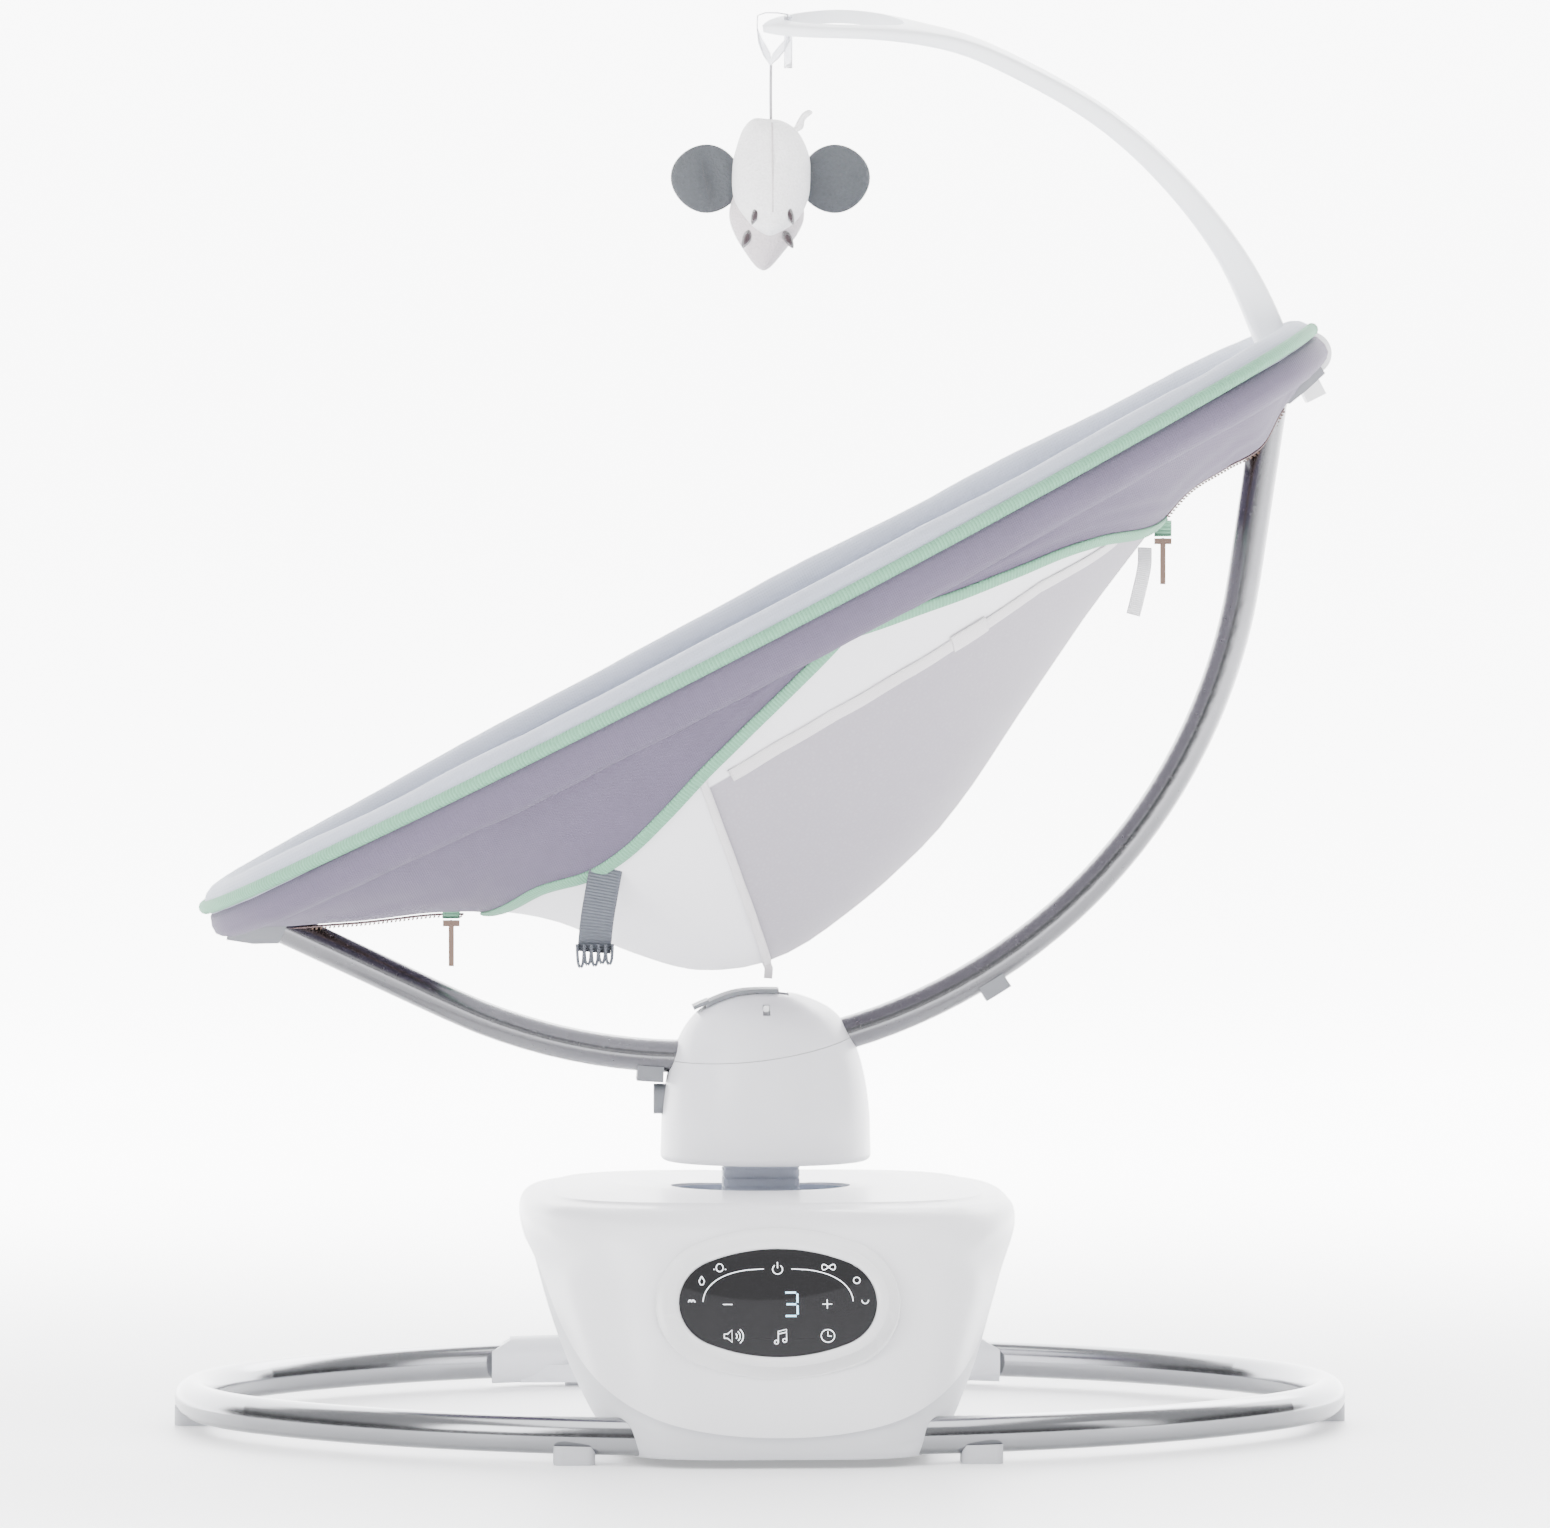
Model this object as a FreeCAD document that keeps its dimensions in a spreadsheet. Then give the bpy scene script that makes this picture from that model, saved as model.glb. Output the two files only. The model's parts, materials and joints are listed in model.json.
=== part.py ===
"""Motorised baby swing: oval floor ring, drive housing, swaying and lifting hub,
arc tube that carries a tilted hammock seat, and a toy bar with a hanging plush toy.

Frame: millimetres, +Z up, origin on the floor under the middle of the ring.
+X runs from the foot end of the seat to the head end, -Y faces the control panel.
"""
import FreeCAD, Part
import Sketcher
import math
import os
import re
from FreeCAD import Placement, Rotation, Vector

DOC = FreeCAD.newDocument("baby_swing")
SHEET = DOC.addObject("Spreadsheet::Sheet", "Dims")

# alias, value, what it is (mm and degrees)
DIMENSIONS = [
    ("ring_half_length", 341, "floor ring centreline, half length along X"),
    ("ring_half_width", 265, "floor ring centreline, half width along Y"),
    ("ring_end_radius", 200, "radius of the two ends of the ring"),
    ("ring_joint_half_gap", 12, "half the gap between the two tubes where they meet"),
    ("ring_tube_dia", 22, "floor ring tube"),
    ("ring_tube_wall", 1.5, "wall of the ring tube"),
    ("ring_axis_height", 16.4, "ring centreline above the floor"),
    ("sleeve_radius", 15, "rear joint sleeve, outside"),
    ("sleeve_half_length", 158, "rear joint sleeve, half length along X"),
    ("foot_height", 11, "rubber feet under the ring tubes"),
    ("foot_length", 24, "rubber feet along X"),
    ("foot_width", 27, "rubber feet along Y"),
    ("housing_floor", 5, "underside of the housing above the floor"),
    ("housing_top", 146, "flat top of the housing"),
    ("housing_back", 85, "back of the housing along Y"),
    ("housing_mid", -90, "Y where the housing is widest"),
    ("housing_wall", 2.5, "moulded wall"),
    ("skirt_inset", 1.9, "step from the front shell down to the skirt inside it"),
    ("slot_half_length", 54, "slot in the top of the housing, along X"),
    ("slot_half_width", 30, "slot in the top of the housing, along Y"),
    ("dish_radius", 812, "shallow round dish about the slot"),
    ("panel_height", 92, "centre of the touch panel above the floor"),
    ("panel_front", -249, "centre of the touch panel along Y"),
    ("panel_tilt", 65, "rotation of the panel about X, 90 would be upright"),
    ("lens_half_length", 57, "dark lens"),
    ("lens_half_width", 33, "dark lens"),
    ("bezel_half_length", 71, "bezel round the lens"),
    ("bezel_half_width", 41.5, "bezel round the lens"),
    ("neck_length", 46, "neck column along X"),
    ("neck_width", 30, "neck column along Y"),
    ("neck_bottom", 30, "lower end of the neck column at rest"),
    ("neck_top", 198, "upper end of the neck column at rest"),
    ("sway_travel", 22, "sway each way along X"),
    ("rod_dia", 8, "guide rods of the sway carriage"),
    ("rod_height", 68, "axis of the guide rods"),
    ("rod_spread", 38, "guide rods each side of the middle"),
    ("gear_module", 1.5, "rack and pinion"),
    ("pinion_teeth", 12, "rack and pinion"),
    ("hub_centre", 3, "middle of the dome along X"),
    ("hub_radius", 63.3, "dome hub"),
    ("hub_bottom", 158, "underside of the dome"),
    ("hub_top", 259.2, "top of the dome"),
    ("hub_wall", 4, "wall of the dome"),
    ("arc_centre_x", -43.3, "centre of the arc tube"),
    ("arc_centre_z", 558.6, "centre of the arc tube"),
    ("arc_radius", 338.1, "centreline of the arc tube"),
    ("arc_depth", 10, "half depth of the arc tube's oval section, in its plane"),
    ("arc_breadth", 14, "half breadth of the arc tube's oval section, along Y"),
    ("arc_wall", 1.5, "wall of the arc tube"),
    ("arc_foot_angle", 25, "end of the round stretch, from straight down to the foot end"),
    ("arc_head_angle", 81.5, "end of the round stretch, from straight down to the head end"),
    ("arc_foot_run", 109, "straight stretch at the foot end"),
    ("arc_head_run", 106, "straight stretch at the head end"),
    ("seat_x", 5.1, "middle of the seat hoop"),
    ("seat_z", 472.8, "middle of the seat hoop"),
    ("seat_tilt", 27.6, "slope of the seat hoop"),
    ("hoop_half_length", 366, "seat hoop centreline"),
    ("hoop_half_width", 205, "seat hoop centreline"),
    ("hoop_head_radius", 150, "round head end of the hoop"),
    ("hoop_foot_radius", 115, "round foot end of the hoop"),
    ("hoop_dia", 16, "seat hoop tube"),
    ("hoop_wall", 1.2, "seat hoop tube"),
    ("cloth", 2.2, "thickness of the woven covers"),
    ("pad_thickness", 10, "seat pad"),
]


def fill_sheet():
    for row, (alias, value, meaning) in enumerate(DIMENSIONS, start=1):
        SHEET.set(f"A{row}", meaning)
        SHEET.set(f"B{row}", str(value))
        SHEET.setAlias(f"B{row}", alias)
    DOC.recompute()


fill_sheet()
ALIASES = {alias for alias, _value, _meaning in DIMENSIONS}
NODES = []


def dim(alias):
    return float(SHEET.get(alias))


def bind(obj, prop, formula):
    """Bind a property to a formula whose words are aliases of the sheet."""
    linked = re.sub(r"[a-z_]+", lambda hit: "Dims." + hit[0] if hit[0] in ALIASES else hit[0], formula)
    obj.setExpression(prop, linked)


def node(obj, label, place=None):
    """Name a finished sub-part and put it in the list that is exported."""
    obj.Label = label
    if place is not None:
        obj.Placement = place
    NODES.append(obj)
    return obj


# ---------------------------------------------------------------- building blocks

def primitive(kind, name, place=None, **sizes):
    """Part primitive whose sizes are numbers or formulas of the sheet."""
    obj = DOC.addObject("Part::" + kind, name)
    for prop, size in sizes.items():
        if isinstance(size, str):
            bind(obj, prop, size)
        else:
            setattr(obj, prop, size)
    if place is not None:
        obj.Placement = place
    return obj


def block(name, low, high, rotation=None, about=None):
    """Box between two corners, turned about a point if asked."""
    size = Vector(*high) - Vector(*low)
    obj = primitive("Box", name, Length=size.x, Width=size.y, Height=size.z)
    obj.Placement = Placement(Vector(*low), Rotation())
    if rotation is not None:
        turn = Placement(Vector(), rotation, Vector(*about))
        obj.Placement = turn.multiply(obj.Placement)
    return obj


def rod(name, start, end, radius):
    """Cylinder from one point to another; radius is a number or a formula."""
    axis = Vector(*end) - Vector(*start)
    place = Placement(Vector(*start), Rotation(Vector(0, 0, 1), axis))
    return primitive("Cylinder", name, place, Radius=radius, Height=axis.Length)


def cut(name, base, *tools):
    for number, tool in enumerate(tools, start=1):
        step = DOC.addObject("Part::Cut", f"{name}_cut{number}")
        step.Base = base
        step.Tool = tool
        base = step
    return base


def fuse(name, *shapes):
    joined = DOC.addObject("Part::MultiFuse", name + "_fuse")
    joined.Shapes = list(shapes)
    joined.Refine = True
    return joined


def common(name, base, tool):
    step = DOC.addObject("Part::Common", name + "_common")
    step.Base = base
    step.Tool = tool
    return step


def group(name, *shapes):
    """Identical loose pieces that share one node."""
    pieces = DOC.addObject("Part::Compound", name + "_group")
    pieces.Links = list(shapes)
    return pieces


def solid_feature(name, shape):
    feature = DOC.addObject("Part::Feature", name)
    feature.Shape = shape
    return feature


def new_body(name):
    return DOC.addObject("PartDesign::Body", name + "_body")


def sketch_in(body, role, shift=0.0):
    """Sketch on one of the body's own origin planes, moved along its normal."""
    sketch = body.newObject("Sketcher::SketchObject", body.Name + "_sketch")
    plane = next(item for item in body.Origin.OriginFeatures if item.Role == role)
    sketch.AttachmentSupport = [(plane, "")]
    sketch.MapMode = "FlatFace"
    sketch.AttachmentOffset = Placement(Vector(0, 0, shift), Rotation())
    return sketch


def add_circle(sketch, x, y, formula):
    index = sketch.addGeometry(Part.Circle(Vector(x, y, 0), Vector(0, 0, 1), 1.0), False)
    constraint = sketch.addConstraint(Sketcher.Constraint("Radius", index, 1.0))
    bind(sketch, f"Constraints[{constraint}]", formula)
    return index


def add_polygon(sketch, points):
    corners = [Vector(x, y, 0) for x, y in points]
    for start, end in zip(corners, corners[1:] + corners[:1]):
        sketch.addGeometry(Part.LineSegment(start, end), False)


def add_rounded_box(sketch, half_x, half_y, radius):
    """Rectangle with round corners about the sketch's origin."""
    for edge in rounded_box_edges(half_x, half_y, radius):
        sketch.addGeometry(edge, False)


def rounded_box_edges(half_x, half_y, radius):
    edges = []
    corners = [(half_x, half_y, 0), (-half_x, half_y, 90), (-half_x, -half_y, 180),
               (half_x, -half_y, 270)]
    ends = []
    for x, y, start in corners:
        centre = Vector(x - math.copysign(radius, x), y - math.copysign(radius, y), 0)
        circle = Part.Circle(centre, Vector(0, 0, 1), radius)
        arc = Part.ArcOfCircle(circle, math.radians(start), math.radians(start + 90))
        ends.append((arc.StartPoint, arc.EndPoint))
        edges.append(arc)
    for (_s, end), (start, _e) in zip(ends, ends[1:] + ends[:1]):
        edges.append(Part.LineSegment(end, start))
    return edges


def pad(body, sketch, formula, midplane=False):
    feature = body.newObject("PartDesign::Pad", body.Name + "_pad")
    feature.Profile = sketch
    feature.Midplane = midplane
    if isinstance(formula, str):
        bind(feature, "Length", formula)
    else:
        feature.Length = formula
    DOC.recompute()
    return feature


def pocket(body, sketch, length, midplane=False, reversed_way=False):
    """Pocket that must really take material away."""
    before = body.Shape.Volume
    feature = body.newObject("PartDesign::Pocket", body.Name + "_pocket")
    feature.Profile = sketch
    feature.Midplane = midplane
    feature.Reversed = reversed_way
    feature.Length = length
    DOC.recompute()
    if body.Shape.Volume > before - 1:
        raise RuntimeError(f"pocket of {body.Name} cuts nothing")
    return feature


def pipe_body(name, path_edges, start_shift, centre, dia, wall):
    """Bent tube: its path lies in the body's XY plane and starts along X."""
    body = new_body(name)
    path = sketch_in(body, "XY_Plane")
    for edge in path_edges:
        path.addGeometry(edge, False)
    section = sketch_in(body, "YZ_Plane", start_shift)
    add_circle(section, centre, 0, f"({dia}) / 2")
    if wall:
        add_circle(section, centre, 0, f"({dia}) / 2 - {wall}")
    DOC.recompute()
    pipe = body.newObject("PartDesign::AdditivePipe", name + "_pipe")
    pipe.Profile = section
    pipe.Spine = (path, [f"Edge{number + 1}" for number in range(len(path_edges))])
    DOC.recompute()
    return body


def arc_between(centre, radius, start, end):
    """Arc about centre from start to end, angles in degrees, counter-clockwise."""
    circle = Part.Circle(Vector(*centre, 0), Vector(0, 0, 1), radius)
    return Part.ArcOfCircle(circle, math.radians(start), math.radians(end))


class Oval:
    """Four-arc oval: flat side arcs and tighter end arcs, tangent to each other."""

    def __init__(self, half_length, half_width, end_radius, half_gap=0.0):
        rise = half_width - end_radius
        self.reach = half_length - end_radius
        run = self.reach - half_gap
        self.drop = (run ** 2 - rise ** 2) / (2 * rise)
        self.gap = half_gap
        self.end_radius = end_radius
        self.side_radius = half_width + self.drop
        self.turn = math.degrees(math.atan2(self.drop, run))

    def right_half(self):
        """Lower end, right side and upper end, from x = gap back to x = gap."""
        low = arc_between((self.gap, self.drop), self.side_radius, -90, -self.turn)
        end = arc_between((self.reach, 0), self.end_radius, -self.turn, self.turn)
        high = arc_between((self.gap, -self.drop), self.side_radius, self.turn, 90)
        return [low, end, high]

    def left_half(self):
        high = arc_between((-self.gap, -self.drop), self.side_radius, 90, 180 - self.turn)
        end = arc_between((-self.reach, 0), self.end_radius, 180 - self.turn, 180 + self.turn)
        low = arc_between((-self.gap, self.drop), self.side_radius, 180 + self.turn, 270)
        return [high, end, low]


# ---------------------------------------------------------------- floor ring

RING = Oval(dim("ring_half_length"), dim("ring_half_width"), dim("ring_end_radius"),
            dim("ring_joint_half_gap"))
RING_LEVEL = Placement(Vector(0, 0, dim("ring_axis_height")), Rotation())


def ring_y(x):
    """Y of the ring's centreline at x, on its long flat sides."""
    return math.sqrt(RING.side_radius ** 2 - (abs(x) - RING.gap) ** 2) - RING.drop


def ring_tube(name, side, dia="ring_tube_dia", wall="ring_tube_wall"):
    edges = RING.right_half() if side > 0 else RING.left_half()
    centre = -dim("ring_half_width") * side
    return pipe_body(name, edges, side * dim("ring_joint_half_gap"), centre, dia, wall)


def make_ring():
    for side, label in ((-1, "left_ring_tube"), (1, "right_ring_tube")):
        node(ring_tube(label, side), label, RING_LEVEL)


def ring_clearance(extra):
    """Solid ring, a little thicker than the tubes, to cut their seats."""
    halves = []
    for side in (-1, 1):
        edges = RING.right_half() if side > 0 else RING.left_half()
        halves.extend(edges)
    for side in (-1, 1):
        y = side * dim("ring_half_width")
        gap = dim("ring_joint_half_gap")
        halves.append(Part.LineSegment(Vector(-gap, y, 0), Vector(gap, y, 0)))
    wire = Part.Wire(Part.__sortEdges__([edge.toShape() for edge in halves]))
    radius = dim("ring_tube_dia") / 2 + extra
    start = wire.OrderedVertexes[0].Point
    tangent = wire.OrderedEdges[0].tangentAt(wire.OrderedEdges[0].FirstParameter)
    section = Part.Wire(Part.makeCircle(radius, start, tangent))
    solid = wire.makePipeShell([section], True, False)
    solid.translate(Vector(0, 0, dim("ring_axis_height")))
    return solid


def make_rear_sleeve(seat_cut):
    """Plastic sleeve that joins the two tubes at the back and stands on the floor."""
    radius = dim("sleeve_radius")
    half = dim("sleeve_half_length")
    keep = Part.makeBox(2 * half, 400, 60, Vector(-half, 100, -10))
    outside = solid_feature("sleeve_body", ring_clearance(radius - dim("ring_tube_dia") / 2).common(keep))
    inner = ring_y(half)
    webs = []
    for number, (low_x, high_x) in enumerate(((-140, -60), (-60, 60), (60, 140))):
        y = min(ring_y(low_x), ring_y(high_x), inner + 25)
        webs.append(block(f"sleeve_web{number}", (low_x, y - 10, 3), (high_x, y + 14, 14)))
    heel = block("sleeve_heel", (-40, 240, 3), (40, 287.2, 24))
    ends = [block(f"sleeve_end{side}", (side * half - 10, 200, 24), (side * half + 10, 300, 40),
                  Rotation(Vector(0, 1, 0), side * 30), (side * half, 250, 30)) for side in (-1, 1)]
    body = fuse("rear_joint_sleeve", outside, *webs, heel)
    under = block("sleeve_under", (-200, 200, -5), (200, 300, 3))
    node(cut("rear_joint_sleeve", body, seat_cut, under, *ends), "rear_joint_sleeve")


def make_ring_feet(seat_cut):
    """Rubber saddles under the ring: two beside the housing, one under each end."""
    places = [(-118, -ring_y(118), "left_front_foot"), (118, -ring_y(118), "right_front_foot"),
              (-dim("ring_half_length"), 0, "left_end_foot"), (dim("ring_half_length"), 0, "right_end_foot")]
    feet = []
    for x, y, label in places:
        across = abs(y) > 1
        body = new_body(label)
        outline = sketch_in(body, "XY_Plane")
        half_x = dim("foot_length") / 2 if across else dim("foot_width") / 2
        half_y = dim("foot_width") / 2 if across else dim("foot_length") / 2
        add_rounded_box(outline, min(half_x, 10.9) if not across else half_x, half_y, 5)
        pad(body, outline, "foot_height")
        body.Placement = Placement(Vector(x, y, 0), Rotation())
        feet.append(cut(label, body, seat_cut))
    node(group("ring_feet", *feet), "ring_feet")


# ---------------------------------------------------------------- housing

# height above the floor, half width, front face along Y, squareness of the front
HOUSING_LEVELS = [(5, 93, -285, 5.5), (20, 106, -287, 5.0), (45, 119, -273, 4.2), (80, 132, -256, 3.4),
                  (112, 141, -240, 3.0), (130, 146, -231, 3.0), (139, 145, -221, 3.0),
                  (144, 138, -205, 3.0), (146, 126, -186, 3.0)]
FRONT_EDGE = [(0, 18), (50, 22.5), (85, 34), (108, 51), (126, 80), (137, 108), (152, 132), (180, 150)]
BACK_POWER = 4.0


def planform(level, half_width, front, squareness, inset=0.0):
    """Closed outline of the housing at one height: round front, squarer back."""
    middle = dim("housing_mid")
    points = []
    steps = 32
    for step in range(steps):
        angle = 2 * math.pi * step / steps
        cosine, sine = math.cos(angle), math.sin(angle)
        power = BACK_POWER if sine >= 0 else squareness
        depth = dim("housing_back") - middle if sine >= 0 else middle - front
        across, along = abs(cosine / (half_width - inset)), abs(sine / (depth - inset))
        reach = (across ** power + along ** power) ** (-1 / power)
        points.append(Vector(reach * cosine, middle + reach * sine, level))
    curve = Part.BSplineCurve()
    curve.interpolate(points, PeriodicFlag=True)
    return Part.Wire(curve.toShape())


def housing_solid(inset, floor_drop=0.0, ceiling=200.0):
    """Outside of the housing moved inwards, open downwards and flat at the ceiling."""
    wires = []
    for level, half_width, front, squareness in HOUSING_LEVELS:
        bottom = level == HOUSING_LEVELS[0][0]
        wires.append(planform(level - floor_drop if bottom else level, half_width, front, squareness, inset))
    below = Part.makeBox(600, 600, ceiling, Vector(-300, -400, 0))
    return Part.makeLoft(wires, True, False).common(below)


def front_prism():
    """Block whose lower edge is the curve that parts the front shell from the skirt."""
    right = [Vector(x, -400, z) for x, z in FRONT_EDGE]
    left = [Vector(-point.x, point.y, point.z) for point in reversed(right[1:])]
    curve = Part.BSplineCurve()
    curve.interpolate(left + right)
    top = [Part.LineSegment(right[-1], Vector(right[-1].x, -400, 200)).toShape(),
           Part.LineSegment(Vector(right[-1].x, -400, 200), Vector(-right[-1].x, -400, 200)).toShape(),
           Part.LineSegment(Vector(-right[-1].x, -400, 200), left[0]).toShape()]
    wire = Part.Wire([curve.toShape()] + top)
    return Part.Face(wire).extrude(Vector(0, 600, 0))


PANEL = Placement(Vector(0, dim("panel_front"), dim("panel_height")),
                  Rotation(Vector(1, 0, 0), dim("panel_tilt")))


def oval_body(name, half_length, half_width, end_radius, depth, shift):
    """Flat oval plate in its own XY plane."""
    body = new_body(name)
    sketch = sketch_in(body, "XY_Plane", shift)
    outline = Oval(half_length, half_width, end_radius)
    for edge in outline.right_half() + outline.left_half():
        sketch.addGeometry(edge, False)
    pad(body, sketch, depth)
    return body


def slot_cutter(name, shrink, low, high):
    half_x = dim("slot_half_length") - shrink
    half_y = dim("slot_half_width") - shrink
    body = new_body(name)
    sketch = sketch_in(body, "XY_Plane", low)
    add_rounded_box(sketch, half_x, half_y, half_y - 0.01)
    pad(body, sketch, high - low)
    return body


def make_housing(seat_cut):
    wall, step = dim("housing_wall"), dim("skirt_inset")
    front = housing_solid(0).cut(housing_solid(step - 0.2, 3, 138)).common(front_prism())
    skirt = housing_solid(step, 0, 137.8).cut(housing_solid(step + wall, 3))
    front_part = solid_feature("front_shell_blank", front)
    skirt_part = solid_feature("skirt_blank", skirt)

    dish = primitive("Sphere", "dish", Placement(Vector(0, 0, dim("housing_top") - 5 + dim("dish_radius")),
                                                 Rotation()), Radius="dish_radius")
    half_length, half_width = dim("bezel_half_length"), dim("bezel_half_width")
    bezel_hole = oval_body("bezel_hole", half_length - 3, half_width - 3, 30, 60, -40)
    bezel_hole.Placement = PANEL
    bezel_seat = oval_body("bezel_seat", half_length + 0.25, half_width + 0.25, 33.2, 20, -0.7)
    bezel_seat.Placement = PANEL
    inlet_hole = rod("inlet_hole", (45, 60, 34), (45, 95, 34), 6.0)
    slot_hole = slot_cutter("slot_hole", 0, 120, 160)
    shell = cut("housing_front_shell", front_part, dish, slot_hole, bezel_hole, bezel_seat, inlet_hole)
    node(shell, "housing_front_shell")

    node(cut("housing_skirt", skirt_part, seat_cut, inlet_hole, bezel_hole), "housing_skirt")

    liner = cut("slot_liner", slot_cutter("liner_outside", 0.2, 134, 141),
                slot_cutter("liner_inside", 2.0, 130, 150))
    node(liner, "slot_liner")

    _level, half_width, front, squareness = HOUSING_LEVELS[0]
    plate_outline = planform(dim("housing_floor"), half_width, front, squareness, 6.5)
    plate = solid_feature("base_plate_blank", Part.Face(plate_outline).extrude(Vector(0, 0, 3)))
    screw_holes = [rod(f"plate_hole{number}", (x, y, 0), (x, y, 12), 2.2)
                   for number, (x, y) in enumerate(PLATE_SCREWS)]
    socket_raw = block("tube_socket_raw", (-78, -282, 8), (78, -238, 33))
    socket = common("tube_socket", socket_raw, solid_feature("housing_inside", housing_solid(6.5)))
    base = cut("base_plate", fuse("base_plate", plate, socket), seat_cut, fuse("plate_holes", *screw_holes))
    node(base, "base_plate")
    pads = [rod(f"housing_pad{number}", (x, y, 0), (x, y, 5), 8)
            for number, (x, y) in enumerate(((-60, -200), (60, -200), (-60, 45), (60, 45)))]
    pads += [block(f"sleeve_pad{number}", (x - 12, y - 8, 0), (x + 12, y + 10, 3))
             for number, (x, y) in enumerate(((-100, 250), (100, 250), (0, 262)))]
    node(group("rubber_pads", *pads), "rubber_pads")
    screws = []
    for number, (x, y) in enumerate(PLATE_SCREWS):
        head = rod(f"plate_screw_head{number}", (x, y, 2.6), (x, y, 5), 3.5)
        shank = rod(f"plate_screw_shank{number}", (x, y, 5), (x, y, 12), 1.9)
        screws.append(fuse(f"plate_screw{number}", head, shank))
    node(group("base_plate_screws", *screws), "base_plate_screws")


PLATE_SCREWS = ((-70, -150), (70, -150), (-50, -20), (50, -20), (-40, 65), (40, 65))


def make_panel():
    length, width = dim("bezel_half_length"), dim("bezel_half_width")
    outer = oval_body("bezel_outer", length, width, 33, 5, -0.5)
    stem = oval_body("bezel_stem", length - 3.3, width - 3.3, 29.7, 17, -17)
    lens_length, lens_width = dim("lens_half_length"), dim("lens_half_width")
    window = oval_body("bezel_window", lens_length + 0.2, lens_width + 0.2, 27, 30, -5)
    back_window = oval_body("bezel_back", lens_length - 3, lens_width - 3, 24, 40, -20)
    ring = cut("panel_bezel", fuse("panel_bezel_body", outer, stem), window, back_window)
    dome = primitive("Sphere", "bezel_dome", Placement(Vector(0, 0, -895.5), Rotation()), Radius=900)
    bezel = common("panel_bezel", ring, dome)
    node(bezel, "panel_bezel", PANEL)
    lens = oval_body("panel_lens", lens_length, lens_width, 26.8, 2.5, 0)
    node(lens, "panel_lens", PANEL)
    board = new_body("control_board")
    sketch = sketch_in(board, "XY_Plane", -9.2)
    add_rounded_box(sketch, 42, 18, 3)
    pad(board, sketch, 1.6)
    node(board, "control_board", PANEL)
    speaker = primitive("Cone", "speaker", Placement(Vector(45, -175, 8), Rotation()),
                        Radius1=12, Radius2=22, Height=14)
    node(speaker, "speaker")
    barrel = rod("inlet_barrel", (45, 66, 34), (45, 84, 34), 5.8)
    bore = rod("inlet_bore", (45, 74, 34), (45, 95, 34), 2.75)
    node(cut("dc_inlet", barrel, bore), "dc_inlet")


# ---------------------------------------------------------------- drive

def rack_profile(length, pitch, height):
    """Rack outline from x = -length/2, teeth down to z = 0, back at z = height."""
    points = [(-length / 2, height), (-length / 2, 3)]
    teeth = int(length / pitch)
    left = -teeth * pitch / 2
    for number in range(teeth):
        x = left + number * pitch
        points += [(x + 0.22 * pitch, 3), (x + 0.42 * pitch, 0), (x + 0.58 * pitch, 0), (x + 0.78 * pitch, 3)]
    points += [(length / 2, 3), (length / 2, height)]
    return points


def pinion_profile(teeth, module):
    root, tip = module * (teeth / 2 - 1.2), module * (teeth / 2 + 0.8)
    points = []
    for number in range(teeth):
        for radius, share in ((root, -0.25), (tip, -0.09), (tip, 0.09), (root, 0.25)):
            angle = 2 * math.pi * (number + share) / teeth
            points.append((radius * math.sin(angle), radius * math.cos(angle)))
    return points


RACK_Y = -48.6


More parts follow.
